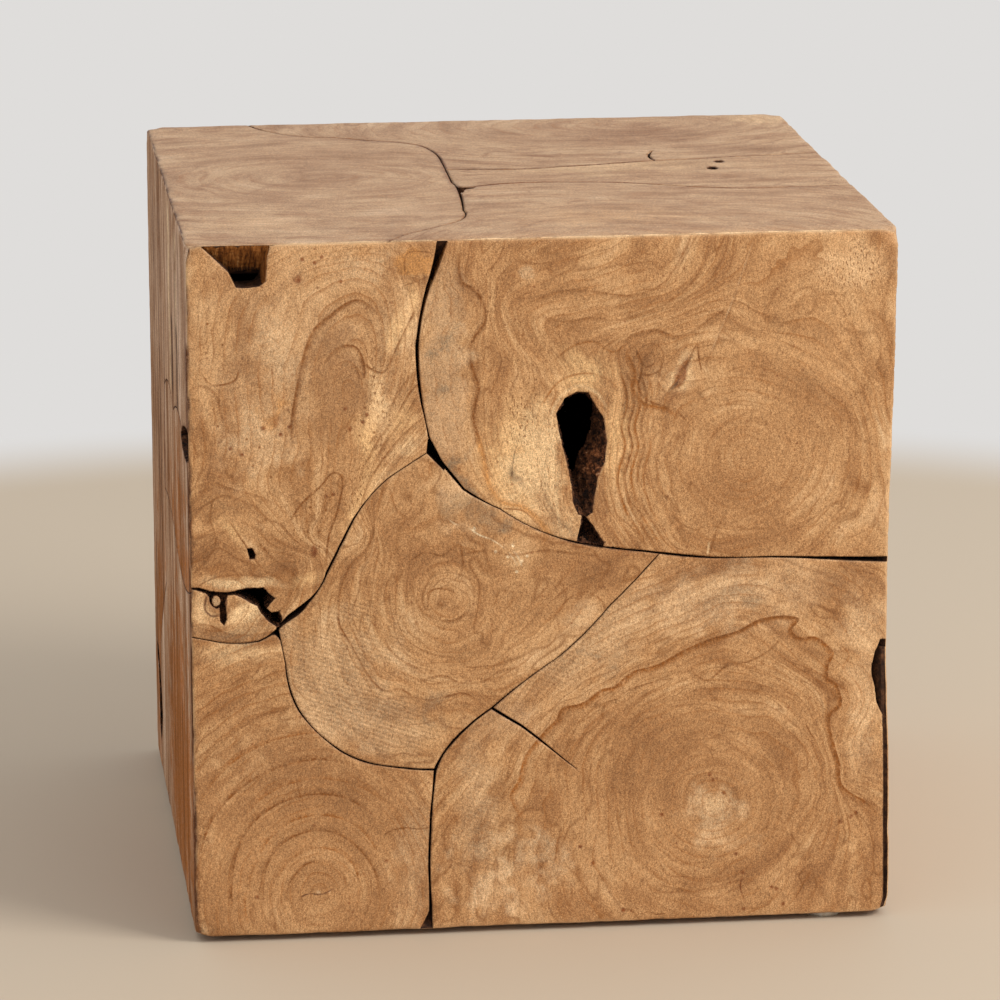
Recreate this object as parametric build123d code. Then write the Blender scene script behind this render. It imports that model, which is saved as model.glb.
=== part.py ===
from build123d import *
import math
import os

# Hollow cube of six slabs. Each slab is a mosaic of fitted slices of teak root, glued at their
# edges and to battens behind. Slabs meet in mitres. The cube stands on four low glides.
# Origin: middle of the cube's footprint, on the floor. X right, Y back, Z up, in millimetres.

# Cube
EDGE = 400.0
SLAB = 20.0
ARRIS = 1.5

# Joints between slices, as wide as the thinnest glue line
JOINT = 0.4
CORNER_RELIEF = 0.9

# Natural voids and splits in the slices
POCKET_DEPTH = 5.0
SPLIT_DEPTH = 13.0
KNOT_HOLE_DEPTH = 8.0
LOBE_DEPTH = 15.0

# Lip of the right slab that shows at the front edge, below the chip
LIP_WIDTH = 3.4
LIP_HEIGHT = 158.0

# Battens behind the slices
BATTEN_WIDTH = 24.0
BATTEN_THICKNESS = 16.0
BATTEN_END_GAP = 22.0

# Glides under the cube
GLIDE_DIAMETER = 20.0
GLIDE_HEIGHT = 3.5
GLIDE_CHAMFER = 1.0
GLIDE_SIDE_INSET = 36.0
GLIDE_FRONT_INSET = 14.0
GLIDE_DEEP_INSET = 26.0

# A cutter starts this far outside the slab and ends this far behind it, and a tapered one that
# has to keep its outline at both faces passes them by no more than the margin
OVERRUN = 2.0
MARGIN = 0.01

# A span of a seam that bulges less than this is straight, and a knot has this many sides
STRAIGHTNESS = 0.05
KNOT_SIDES = 9

HALF = EDGE / 2


def share(points):
    """Points of a face in percent of its edge, from its lower left corner, as millimetres."""
    return [(u * EDGE / 100, v * EDGE / 100) for u, v in points]


def sides_of(seam):
    """The two sides of a seam given as (u percent, v percent, width in JOINTs) along its middle."""
    middle = share([(u, v) for u, v, _ in seam])
    left = []
    right = []
    for i, (x, y) in enumerate(middle):
        before = Vector(*middle[max(i - 1, 0)])
        after = Vector(*middle[min(i + 1, len(middle) - 1)])
        along = (after - before).normalized()
        half = seam[i][2] * JOINT / 2
        left.append((x - along.Y * half, y + along.X * half))
        right.append((x + along.Y * half, y - along.X * half))
    return left, right


def bent_line(points):
    """Arcs through three points in turn, straight where those lie in line or only two are left."""
    spans = []
    for first in range(0, len(points) - 1, 2):
        trio = [Vector(*point) for point in points[first:first + 3]]
        chord = trio[-1] - trio[0]
        bulge = abs((trio[1] - trio[0]).cross(chord).Z) / chord.length
        spans.append(ThreePointArc(*trio) if bulge > STRAIGHTNESS else Line(trio[0], trio[-1]))
    return spans


def seam_cutter(seam, depth):
    """A thin curved blade that parts two slices, from outside the slab down to depth."""
    left, right = sides_of(seam)
    start = Line(left[0], right[0])
    end = Line(left[-1], right[-1])
    outline = make_face([start, *bent_line(right), end, *bent_line(left)])
    return Pos(0, 0, OVERRUN) * extrude(outline, -(depth + OVERRUN))


def broken_face(outline):
    """A face with a straight-sided outline, as where bark or wood has broken out."""
    return make_face([Polyline(*share(outline), close=True)])


def knot_outline(u, v, across, along):
    """The outline of a small knot: its place and its reach, all in percent."""
    turns = [2 * math.pi * side / KNOT_SIDES for side in range(KNOT_SIDES)]
    return [(u + across * math.cos(turn), v + along * math.sin(turn)) for turn in turns]


def void_cutter(outline, depth):
    """A straight-walled opening with a broken outline."""
    return Pos(0, 0, OVERRUN) * extrude(broken_face(outline), -(depth + OVERRUN))


def tapered_cutter(mouth, end, depth):
    """An opening whose outline changes from the face of the slab down to depth."""
    return loft([Pos(0, 0, MARGIN) * mouth, Pos(0, 0, -depth - MARGIN) * end], ruled=True)


def relief_cutter(u, v):
    """A small round relief where three slices meet."""
    x, y = share([(u, v)])[0]
    height = SLAB + 2 * OVERRUN
    return Pos(x, y, -SLAB / 2) * Cylinder(CORNER_RELIEF, height)


# Front face: the outline of the big upper right slice, from the top edge to the right edge
FRONT_MAIN = [
    (35.90, 100.8, 16.5), (34.90, 96.80, 9.5), (33.65, 93.25, 5.5), (32.68, 89.25, 3.8),
    (32.12, 85.00, 4.8), (32.25, 81.00, 4.2), (32.73, 76.95, 2.8), (33.32, 74.00, 1.2),
    (33.65, 72.25, 2.2), (34.10, 70.90, 3.0), (35.12, 68.80, 3.8), (36.80, 66.62, 3.8),
    (38.58, 64.40, 3.2), (40.98, 62.82, 2.0), (43.65, 61.42, 1.0), (50.42, 57.58, 1.0),
    (54.65, 56.15, 2.2), (58.80, 55.38, 2.2), (63.62, 54.72, 2.5), (66.35, 54.32, 2.8),
    (69.75, 53.85, 3.5), (74.00, 53.40, 1.8), (78.00, 53.28, 1.2), (82.02, 53.25, 2.0),
    (86.95, 53.02, 3.0), (92.15, 52.72, 5.2), (96.25, 52.50, 6.5), (101.0, 52.35, 8.0),
]
FRONT_UPPER_LEFT = [
    (33.70, 69.95, 1.0), (30.70, 68.12, 1.0), (27.88, 66.28, 1.0), (25.32, 63.75, 1.0),
    (22.98, 60.50, 2.2), (21.05, 56.68, 3.0), (19.18, 52.95, 3.0), (17.38, 49.75, 2.5),
    (16.50, 48.88, 4.5), (15.45, 47.82, 8.0), (14.00, 46.75, 8.5), (12.80, 45.70, 5.0),
    (12.25, 45.10, 2.5),
]
FRONT_LOWER_LEFT = [
    (12.25, 45.10, 1.5), (12.50, 43.88, 1.2), (13.25, 39.90, 1.0), (13.85, 36.08, 2.2),
    (15.12, 32.95, 2.2), (17.32, 30.08, 1.2), (20.20, 27.45, 2.0), (23.18, 25.65, 2.0),
    (26.88, 24.55, 1.5), (31.40, 23.88, 2.5), (34.32, 23.68, 3.0),
]
FRONT_WEDGE = [
    (-1.00, 44.50, 1.2), (2.00, 43.85, 1.2), (4.12, 43.35, 1.2), (6.65, 43.15, 1.0),
    (9.48, 43.35, 1.5), (10.90, 44.05, 2.2), (12.25, 45.10, 2.5),
]
FRONT_LOWER_RIGHT = [
    (66.35, 54.32, 1.0), (63.08, 50.72, 1.2), (58.98, 46.62, 1.2), (54.92, 42.22, 1.2),
    (51.95, 39.62, 1.0), (46.72, 35.95, 1.0), (42.42, 32.45, 2.2), (39.25, 30.08, 2.8),
    (37.00, 27.88, 3.5), (35.50, 26.00, 2.8), (34.32, 23.68, 4.5),
]
FRONT_BOTTOM = [
    (34.32, 23.68, 4.0), (34.10, 21.50, 2.5), (33.72, 17.50, 2.8), (33.50, 13.15, 3.0),
    (33.38, 9.15, 3.2), (33.50, 5.00, 3.2), (33.55, 2.75, 4.8), (33.25, 1.25, 11.0),
    (32.75, -1.00, 27.0),
]
FRONT_SEAMS = [
    FRONT_MAIN, FRONT_UPPER_LEFT, FRONT_LOWER_LEFT, FRONT_WEDGE, FRONT_LOWER_RIGHT, FRONT_BOTTOM,
]
FRONT_MEETINGS = [(12.25, 45.10), (34.32, 23.68)]
FRONT_SLICES = {
    "front_upper_left_slice": (15, 75),
    "front_upper_right_slice": (75, 80),
    "front_centre_slice": (30, 45),
    "front_left_wedge": (7, 45),
    "front_lower_left_slice": (12, 15),
    "front_lower_right_slice": (75, 15),
}

# Three-cornered gaps where the rounded corners of three slices meet
MEETING_GAP = [
    (33.32, 69.75), (33.55, 71.80), (34.15, 71.40), (35.30, 69.00), (36.10, 67.60), (35.75, 67.22),
    (34.60, 68.42),
]
WEDGE_GAP = [
    (11.05, 44.20), (12.00, 45.00), (12.35, 45.10), (12.58, 43.30), (12.28, 43.80), (11.85, 44.20),
]

# Bark gap over the left wedge
CAVITY = [
    (-1.00, 51.45), (1.25, 51.40), (2.75, 50.85), (4.50, 50.60), (6.25, 50.70), (7.92, 51.20),
    (10.25, 51.08), (11.20, 50.20), (11.95, 49.55), (11.12, 48.75), (10.70, 48.12), (11.35, 47.48),
    (12.45, 47.65), (12.90, 46.62), (12.60, 45.60), (12.12, 45.35), (10.82, 46.28), (10.00, 47.30),
    (9.38, 48.45), (8.38, 49.05), (7.12, 49.75), (6.20, 50.20), (4.25, 50.15), (3.00, 50.20),
    (2.12, 50.60), (0.75, 51.05), (-1.00, 51.22),
]
# Bark pocket in the wedge, round a small knot: the knot's place, then its reach across and along
POCKET = [
    (2.00, 50.75), (2.60, 50.00), (2.72, 49.20), (3.05, 48.65), (3.60, 48.28), (4.05, 48.40),
    (4.18, 47.40), (4.10, 46.50), (4.68, 45.80), (5.08, 46.60), (5.05, 47.80), (4.95, 49.20),
    (5.30, 50.35), (4.20, 50.40), (3.00, 50.60),
]
POCKET_KNOT = (3.62, 49.38, 0.62, 0.80)

# Natural hole in the upper right slice: its mouth, its far end and the lobe under its neck
HOLE_MOUTH = [
    (51.58, 74.88), (52.80, 77.00), (54.35, 77.85), (56.12, 77.80), (57.20, 75.85), (58.40, 73.88),
    (58.80, 70.75), (58.50, 67.75), (57.50, 65.50), (57.05, 63.00), (56.75, 60.50), (55.70, 59.12),
    (54.70, 60.25), (54.00, 62.25), (53.75, 64.75), (53.15, 67.50), (52.50, 70.12), (52.00, 72.62),
]
HOLE_END = [
    (51.58, 74.50), (52.80, 76.40), (54.35, 77.20), (56.20, 77.10), (57.40, 75.75), (57.45, 74.00),
    (57.18, 71.50), (56.50, 69.90), (55.90, 68.80), (55.35, 67.90), (55.10, 66.90), (54.70, 65.80),
    (54.20, 65.40), (53.85, 65.90), (53.60, 66.70), (53.15, 68.00), (52.50, 70.12), (52.00, 72.62),
]
LOBE_MOUTH = [
    (55.20, 60.00), (55.90, 59.80), (57.12, 58.12), (58.38, 56.10), (58.20, 55.30), (56.50, 55.60),
    (54.60, 56.10), (54.82, 57.75), (55.10, 59.00),
]
LOBE_END = [
    (55.45, 60.40), (55.90, 60.30), (56.50, 59.40), (57.10, 58.40), (57.00, 57.60), (56.20, 57.40),
    (55.50, 57.60), (55.20, 58.60), (55.30, 59.60),
]

# Broken-out notch at the top edge, small knot hole, splits and the chip at the right edge
NOTCH_MOUTH = [
    (1.90, 100.6), (2.20, 99.90), (3.78, 98.40), (5.98, 96.22), (7.05, 93.98), (8.60, 93.88),
    (10.25, 94.08), (11.12, 94.72), (11.25, 96.50), (11.38, 98.20), (11.90, 100.6),
]
NOTCH_END = [
    (1.90, 100.6), (2.20, 99.90), (3.78, 98.40), (5.98, 96.22), (7.05, 94.00), (8.50, 93.92),
    (9.75, 94.10), (10.40, 94.72), (10.50, 96.50), (10.40, 98.20), (11.60, 100.6),
]
SMALL_HOLE = [
    (8.00, 56.85), (8.75, 56.80), (9.25, 55.90), (9.12, 55.35), (8.38, 55.30), (8.25, 56.10),
]
LOWER_SPLIT = [
    (42.42, 32.45, 3.6), (44.60, 31.00, 3.8), (46.75, 29.62, 3.2), (49.75, 27.12, 2.5),
    (52.75, 24.50, 1.2), (54.50, 23.05, 0.4),
]
CHIP = [
    (100.5, 40.80), (99.00, 40.60), (98.22, 38.80), (97.72, 37.00), (97.68, 35.25), (98.15, 33.70),
    (98.20, 31.70), (98.85, 30.10), (99.20, 29.30), (100.5, 29.00),
]

# Top face, from the front edge to the back edge
TOP_LEFT_EDGE = [
    (15.75, 101.0, 2.0), (16.82, 96.80, 2.0), (18.52, 93.25, 2.0), (21.70, 89.35, 2.0),
    (24.52, 87.12, 2.2), (29.00, 85.88, 2.0), (32.68, 83.25, 1.5), (38.25, 80.12, 1.5),
    (40.88, 76.75, 1.5), (41.90, 72.50, 2.0), (42.45, 65.50, 2.0), (42.25, 55.88, 1.5),
    (42.00, 45.00, 2.0), (42.35, 40.00, 3.0), (42.20, 37.00, 4.0), (41.80, 30.00, 2.5),
    (41.15, 22.50, 2.0), (40.38, 16.00, 1.2), (38.25, 12.25, 1.0), (34.75, 8.50, 1.0),
    (31.00, 4.50, 1.0), (27.50, -1.00, 1.0),
]
TOP_MIDDLE_BACK = [
    (42.25, 55.88, 2.2), (45.50, 55.50, 2.2), (50.00, 54.88, 2.0), (53.25, 54.75, 2.2),
    (58.75, 55.75, 2.2), (64.50, 56.88, 2.8), (69.50, 58.25, 2.5), (74.25, 59.38, 2.0),
    (79.50, 60.12, 1.0), (84.00, 60.88, 1.0), (89.00, 61.50, 1.0), (101.0, 63.25, 1.0),
]
TOP_MIDDLE_FRONT = [
    (42.35, 40.00, 2.5), (46.00, 41.62, 2.5), (49.25, 42.88, 2.2), (53.75, 43.32, 2.0),
    (58.75, 42.95, 1.5), (65.50, 41.75, 1.2), (70.00, 40.00, 1.0), (75.00, 37.38, 1.0),
    (79.50, 35.38, 1.0), (83.75, 34.50, 1.0), (90.00, 34.55, 1.0), (101.0, 35.12, 1.0),
]
TOP_SEAMS = [TOP_LEFT_EDGE, TOP_MIDDLE_BACK, TOP_MIDDLE_FRONT]
TOP_MEETING_GAP = [
    (42.15, 41.60), (43.10, 41.00), (44.95, 40.90), (44.50, 39.70), (43.12, 38.75), (42.62, 36.40),
    (42.10, 37.50),
]
TOP_SPLIT = [(74.25, 59.38, 1.5), (73.88, 63.00, 3.0), (74.25, 65.75, 3.0), (75.00, 68.00, 0.5)]
# Small knot holes, each as its place and then its reach across and along the face
TOP_KNOTS = [(81.75, 52.00, 0.80, 1.40), (83.62, 57.50, 0.70, 1.10)]
TOP_SLICES = {
    "top_left_slice": (20, 45),
    "top_back_slice": (60, 80),
    "top_middle_slice": (65, 50),
    "top_front_slice": (65, 20),
}

# Left face, from the back edge to the front edge
LEFT_BACK_EDGE = [
    (15.50, -1.00, 1.5), (14.00, 11.00, 1.5), (16.50, 21.00, 2.0), (26.00, 29.00, 1.5),
    (36.50, 36.00, 2.5), (38.50, 51.25, 3.0), (41.25, 68.00, 2.5), (44.50, 83.00, 1.5),
    (50.50, 101.0, 1.5),
]
LEFT_MIDDLE_LOW = [
    (38.50, 51.25, 1.2), (47.00, 51.75, 1.2), (65.00, 50.00, 1.2), (81.00, 48.00, 1.5),
    (101.0, 51.00, 1.2),
]
LEFT_MIDDLE_HIGH = [
    (41.25, 68.00, 1.2), (52.00, 70.50, 1.2), (64.00, 69.00, 1.5), (75.00, 71.50, 1.8),
    (88.00, 70.50, 2.0), (101.0, 72.50, 1.2),
]
LEFT_SEAMS = [LEFT_BACK_EDGE, LEFT_MIDDLE_LOW, LEFT_MIDDLE_HIGH]
LEFT_FRONT_VOID = [
    (83.00, 69.90), (88.00, 72.00), (94.00, 73.20), (98.50, 73.80), (101.0, 73.60), (101.0, 70.00),
    (97.00, 68.60), (91.00, 68.20), (86.00, 68.60),
]
LEFT_BACK_VOID = [
    (5.50, 18.80), (9.50, 18.60), (14.00, 15.80), (17.50, 12.50), (18.60, 9.50), (15.50, 6.00),
    (12.20, 4.20), (9.80, 6.50), (10.60, 11.00), (9.00, 14.60), (5.60, 16.40),
]
LEFT_SLICES = {
    "left_back_slice": (20, 70),
    "left_upper_slice": (75, 88),
    "left_middle_slice": (70, 60),
    "left_lower_slice": (65, 20),
}

# Right face, from the front edge to the back edge
RIGHT_FRONT_LOW = [
    (-1.00, 46.50, 1.2), (12.50, 49.00, 1.0), (27.50, 46.50, 1.8), (40.00, 39.50, 2.5),
    (49.00, 28.00, 1.5), (53.00, 15.00, 1.2), (54.00, -1.00, 1.5),
]
RIGHT_BACK_HIGH = [
    (38.00, 101.0, 2.0), (36.50, 87.50, 1.5), (39.50, 75.00, 2.2), (47.25, 64.50, 1.5),
    (59.00, 55.50, 1.2), (72.50, 49.00, 2.0), (86.25, 40.00, 1.5), (101.0, 34.50, 1.2),
]
RIGHT_BRIDGE = [(40.00, 39.50, 1.2), (44.50, 47.50, 1.0), (46.50, 55.50, 1.2), (47.25, 64.50, 1.2)]
RIGHT_CORNER = [(75.00, -1.00, 1.2), (79.50, 10.00, 1.2), (88.00, 18.00, 1.5), (101.0, 22.00, 1.2)]
RIGHT_SEAMS = [RIGHT_FRONT_LOW, RIGHT_BACK_HIGH, RIGHT_BRIDGE, RIGHT_CORNER]
RIGHT_SLICES = {
    "right_front_lower_slice": (20, 20),
    "right_front_upper_slice": (20, 75),
    "right_back_upper_slice": (75, 75),
    "right_back_lower_slice": (62, 30),
    "right_corner_slice": (92, 8),
}

# Back face, from the right edge to the left edge, as seen from behind
BACK_UPPER_CORNER = [
    (-1.00, 59.00, 1.2), (15.00, 57.00, 1.2), (29.50, 61.50, 2.0), (40.00, 70.50, 1.5),
    (44.50, 82.50, 1.2), (43.00, 101.0, 1.8),
]
BACK_LOWER_CORNER = [
    (29.50, 61.50, 1.5), (36.50, 49.00, 1.5), (37.50, 37.50, 1.2), (33.00, 25.00, 2.0),
    (30.00, 12.50, 1.2), (31.00, -1.00, 1.5),
]
BACK_UPPER_SIDE = [
    (40.00, 70.50, 1.2), (55.00, 71.00, 1.2), (67.50, 65.50, 1.8), (75.00, 53.50, 1.5),
    (82.50, 45.00, 1.2), (101.0, 40.00, 1.2),
]
BACK_LOWER_MIDDLE = [
    (33.00, 25.00, 1.5), (47.50, 23.00, 1.5), (60.00, 17.00, 2.0), (67.00, 7.50, 1.2),
    (68.00, -1.00, 1.5),
]
BACK_SEAMS = [BACK_UPPER_CORNER, BACK_LOWER_CORNER, BACK_UPPER_SIDE, BACK_LOWER_MIDDLE]
BACK_SLICES = {
    "back_upper_left_slice": (20, 85),
    "back_lower_left_slice": (15, 30),
    "back_upper_right_slice": (75, 85),
    "back_lower_middle_slice": (48, 10),
    "back_centre_slice": (60, 40),
}

# Underside, from the back edge to the front edge
BOTTOM_LENGTHWISE = [
    (35.00, -1.00, 1.2), (37.50, 20.00, 1.5), (34.00, 44.00, 1.2), (37.50, 60.00, 1.8),
    (47.50, 75.00, 1.2), (49.00, 101.0, 1.5),
]
BOTTOM_RIGHT_CROSS = [(37.50, 60.00, 1.2), (55.00, 53.50, 1.5), (75.00, 51.50, 1.2), (101.0, 47.50, 1.2)]
BOTTOM_LEFT_CROSS = [(-1.00, 45.00, 1.2), (15.00, 49.00, 1.2), (34.00, 44.00, 1.2)]
BOTTOM_SEAMS = [BOTTOM_LENGTHWISE, BOTTOM_RIGHT_CROSS, BOTTOM_LEFT_CROSS]
BOTTOM_SLICES = {
    "bottom_back_left_slice": (18, 20),
    "bottom_front_left_slice": (18, 75),
    "bottom_back_right_slice": (70, 25),
    "bottom_front_right_slice": (75, 80),
}

# Where each face lies: its lower left corner seen from outside, along its edge, and outwards
FACES = {
    "front": Plane((-HALF, -HALF, GLIDE_HEIGHT), (1, 0, 0), (0, -1, 0)),
    "back": Plane((HALF, HALF, GLIDE_HEIGHT), (-1, 0, 0), (0, 1, 0)),
    "left": Plane((-HALF, HALF, GLIDE_HEIGHT), (0, -1, 0), (-1, 0, 0)),
    "right": Plane((HALF, -HALF, GLIDE_HEIGHT), (0, 1, 0), (1, 0, 0)),
    "top": Plane((-HALF, -HALF, GLIDE_HEIGHT + EDGE), (1, 0, 0), (0, 0, 1)),
    "bottom": Plane((-HALF, HALF, GLIDE_HEIGHT), (1, 0, 0), (0, 0, -1)),
}

# Battens on the back of each slab: (name, direction, percent across the slab)
BATTENS = {
    "front": [("left", "up", 22.5), ("right", "up", 76.0)],
    "back": [("left", "up", 25.0), ("right", "up", 55.0)],
    "left": [("low", "across", 30.0), ("middle", "across", 60.0), ("high", "across", 82.0)],
    "right": [("front", "up", 25.0), ("back", "up", 72.0)],
    "top": [("front", "across", 28.0), ("middle", "across", 49.5), ("back", "across", 72.0)],
    "bottom": [("front", "across", 70.0), ("back", "across", 28.0)],
}


def slab_blank():
    """One mitred slab lying face up with its outer face on the ground plane."""
    inner = EDGE - SLAB
    frustum = Wedge(EDGE, SLAB, EDGE, SLAB, SLAB, inner, inner)
    return Pos(HALF, HALF, -SLAB / 2) * Rot(-90, 0, 0) * frustum


def rounded_cube():
    """The cube's outer form with its edges worn round."""
    cube = Pos(0, 0, GLIDE_HEIGHT + HALF) * Box(EDGE, EDGE, EDGE)
    return fillet(cube.edges(), ARRIS)


def lip_wedge():
    """The wedge at the front right edge that belongs to the right slab instead of the front one."""
    section = Polyline((HALF - LIP_WIDTH, -HALF), (HALF, -HALF), (HALF - SLAB, -HALF + SLAB), close=True)
    wedge = extrude(make_face([section]), LIP_HEIGHT)
    return Pos(0, 0, GLIDE_HEIGHT) * wedge


def front_cutters():
    """Everything that parts or opens the front slab."""
    cutters = [seam_cutter(seam, SLAB + OVERRUN) for seam in FRONT_SEAMS]
    cutters += [relief_cutter(*meeting) for meeting in FRONT_MEETINGS]
    cutters.append(void_cutter(MEETING_GAP, SLAB + OVERRUN))
    cutters.append(void_cutter(WEDGE_GAP, SLAB + OVERRUN))
    cutters.append(void_cutter(CAVITY, SLAB + OVERRUN))
    cutters.append(tapered_cutter(broken_face(HOLE_MOUTH), broken_face(HOLE_END), SLAB))
    cutters.append(tapered_cutter(broken_face(LOBE_MOUTH), broken_face(LOBE_END), LOBE_DEPTH))
    cutters.append(tapered_cutter(broken_face(NOTCH_MOUTH), broken_face(NOTCH_END), SLAB))
    cutters.append(void_cutter(SMALL_HOLE, KNOT_HOLE_DEPTH))
    cutters.append(seam_cutter(LOWER_SPLIT, SPLIT_DEPTH))
    cutters.append(void_cutter(CHIP, SLAB + OVERRUN))
    knot = void_cutter(knot_outline(*POCKET_KNOT), SLAB)
    cutters.append(void_cutter(POCKET, POCKET_DEPTH) - knot)
    return cutters


def top_cutters():
    """Everything that parts or opens the top slab."""
    cutters = [seam_cutter(seam, SLAB + OVERRUN) for seam in TOP_SEAMS]
    cutters.append(void_cutter(TOP_MEETING_GAP, SLAB + OVERRUN))
    cutters.append(seam_cutter(TOP_SPLIT, SPLIT_DEPTH))
    cutters += [void_cutter(knot_outline(*knot), KNOT_HOLE_DEPTH) for knot in TOP_KNOTS]
    return cutters


def left_cutters():
    """Everything that parts or opens the left slab."""
    cutters = [seam_cutter(seam, SLAB + OVERRUN) for seam in LEFT_SEAMS]
    cutters.append(void_cutter(LEFT_FRONT_VOID, SLAB + OVERRUN))
    cutters.append(void_cutter(LEFT_BACK_VOID, SLAB + OVERRUN))
    return cutters


def plain_cutters(seams):
    """The seams of a slab that has no voids."""
    return [seam_cutter(seam, SLAB + OVERRUN) for seam in seams]


def cut_into_slices(slab, plane, cutters, names):
    """Cut a slab, standing in its place, and give each slice the name of the point that it holds."""
    for cutter in cutters:
        slab = slab - plane.location * cutter
    pieces = slab.solids()
    if len(pieces) != len(names):
        raise ValueError(f"{len(pieces)} pieces for {len(names)} slices")
    slices = {}
    for name, spot in names.items():
        x, y = share([spot])[0]
        inside = plane.from_local_coords(Vector(x, y, -SLAB / 2))
        slices[name] = min(pieces, key=lambda piece: piece.distance_to(Vertex(*inside)))
    return slices


def battens():
    """The battens glued across the slices on the inner side of every slab."""
    length = EDGE - 2 * (SLAB + BATTEN_THICKNESS + BATTEN_END_GAP)
    made = {}
    for side, rows in BATTENS.items():
        for place, direction, percent in rows:
            across = percent * EDGE / 100
            size = (BATTEN_WIDTH, length) if direction == "up" else (length, BATTEN_WIDTH)
            spot = (across, HALF) if direction == "up" else (HALF, across)
            bar = Pos(*spot, -SLAB - BATTEN_THICKNESS / 2) * Box(*size, BATTEN_THICKNESS)
            made[f"{side}_{place}_batten"] = FACES[side].location * bar
    return made


def glides():
    """Four low round glides with a chamfered tread, under the corners, as a group of solids."""
    disc = Pos(0, 0, GLIDE_HEIGHT / 2) * Cylinder(GLIDE_DIAMETER / 2, GLIDE_HEIGHT)
    disc = chamfer(disc.edges().group_by(Axis.Z)[0], GLIDE_CHAMFER)
    side = HALF - GLIDE_SIDE_INSET
    deep = HALF - GLIDE_DEEP_INSET
    front = HALF - GLIDE_FRONT_INSET
    spots = [(-side, -deep), (side, -front), (-side, deep), (side, deep)]
    return {"glides": Compound(children=[Pos(x, y, 0) * disc for x, y in spots])}


def cube_slices():
    """All slices of the six slabs."""
    blank = slab_blank()
    form = rounded_cube()
    slabs = {side: plane.location * blank for side, plane in FACES.items()}
    wedge = lip_wedge()
    lip = slabs["front"] & wedge
    slabs["front"] = slabs["front"] - wedge
    slabs["right"] = slabs["right"] + lip
    plan = {
        "front": (front_cutters(), FRONT_SLICES),
        "top": (top_cutters(), TOP_SLICES),
        "left": (left_cutters(), LEFT_SLICES),
        "right": (plain_cutters(RIGHT_SEAMS), RIGHT_SLICES),
        "back": (plain_cutters(BACK_SEAMS), BACK_SLICES),
        "bottom": (plain_cutters(BOTTOM_SEAMS), BOTTOM_SLICES),
    }
    made = {}
    for side, (cutters, names) in plan.items():
        made.update(cut_into_slices(slabs[side] & form, FACES[side], cutters, names))
    return made


parts = {**cube_slices(), **battens(), **glides()}

os.makedirs("parts", exist_ok=True)
for node, shape in parts.items():
    export_step(shape, f"parts/{node}.step")
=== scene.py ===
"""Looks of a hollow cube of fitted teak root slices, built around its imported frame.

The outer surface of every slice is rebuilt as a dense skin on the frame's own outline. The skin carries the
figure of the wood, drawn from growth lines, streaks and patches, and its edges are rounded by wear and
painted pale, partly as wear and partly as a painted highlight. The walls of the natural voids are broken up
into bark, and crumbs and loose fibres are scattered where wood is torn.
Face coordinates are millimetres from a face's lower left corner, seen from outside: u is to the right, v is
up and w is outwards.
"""

import logging
import math
from dataclasses import dataclass
from enum import Enum

import bmesh
import bpy
import numpy as np
from mathutils import Matrix, Vector, noise
from mathutils.geometry import delaunay_2d_cdt
from mathutils.kdtree import KDTree


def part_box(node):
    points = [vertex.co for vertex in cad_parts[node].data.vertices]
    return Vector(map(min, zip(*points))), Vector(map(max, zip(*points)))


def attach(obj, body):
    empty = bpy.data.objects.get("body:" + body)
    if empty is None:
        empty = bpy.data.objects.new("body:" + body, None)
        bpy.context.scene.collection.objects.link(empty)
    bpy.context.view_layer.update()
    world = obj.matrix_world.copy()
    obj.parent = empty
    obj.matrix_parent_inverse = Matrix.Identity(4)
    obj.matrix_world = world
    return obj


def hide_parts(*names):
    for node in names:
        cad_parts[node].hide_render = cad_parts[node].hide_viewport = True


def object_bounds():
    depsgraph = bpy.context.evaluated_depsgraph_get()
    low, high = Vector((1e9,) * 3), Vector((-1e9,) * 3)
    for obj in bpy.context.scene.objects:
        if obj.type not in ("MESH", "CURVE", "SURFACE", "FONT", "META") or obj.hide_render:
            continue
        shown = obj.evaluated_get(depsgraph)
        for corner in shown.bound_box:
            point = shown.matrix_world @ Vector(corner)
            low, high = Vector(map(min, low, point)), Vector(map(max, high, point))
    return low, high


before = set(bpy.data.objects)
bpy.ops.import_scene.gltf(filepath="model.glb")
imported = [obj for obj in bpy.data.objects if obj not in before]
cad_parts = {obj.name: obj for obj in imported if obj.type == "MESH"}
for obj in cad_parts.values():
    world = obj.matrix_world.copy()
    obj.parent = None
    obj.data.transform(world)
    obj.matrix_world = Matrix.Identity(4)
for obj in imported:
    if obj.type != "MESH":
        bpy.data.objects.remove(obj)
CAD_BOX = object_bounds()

LOG = logging.getLogger("cube")
Spot = tuple[float, float]
Points = tuple[Spot, ...]
Colour = tuple[float, float, float, float]
Tree = bpy.types.NodeTree
Socket = bpy.types.NodeSocket
Outputs = bpy.types.NodeOutputs
MM = 0.001
PER_MM = 1 / MM
BODY = "root"
# Places nearer to each other than this, in millimetres, are one place
WELD = 1e-4
# A length that counts as none, so that nothing is divided by zero
TINY = 1e-6


def to_linear(colour: str) -> Colour:
    """Turn an sRGB hex colour into linear light.

    Args:
        colour: Six hex digits.

    Returns:
        Linear red, green and blue, and an alpha of 1.
    """
    parts = [int(colour[i:i + 2], 16) / 255 for i in (0, 2, 4)]
    flat = [c / 12.92 if c <= 0.04045 else ((c + 0.055) / 1.055) ** 2.4 for c in parts]
    return (*flat, 1.0)


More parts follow.
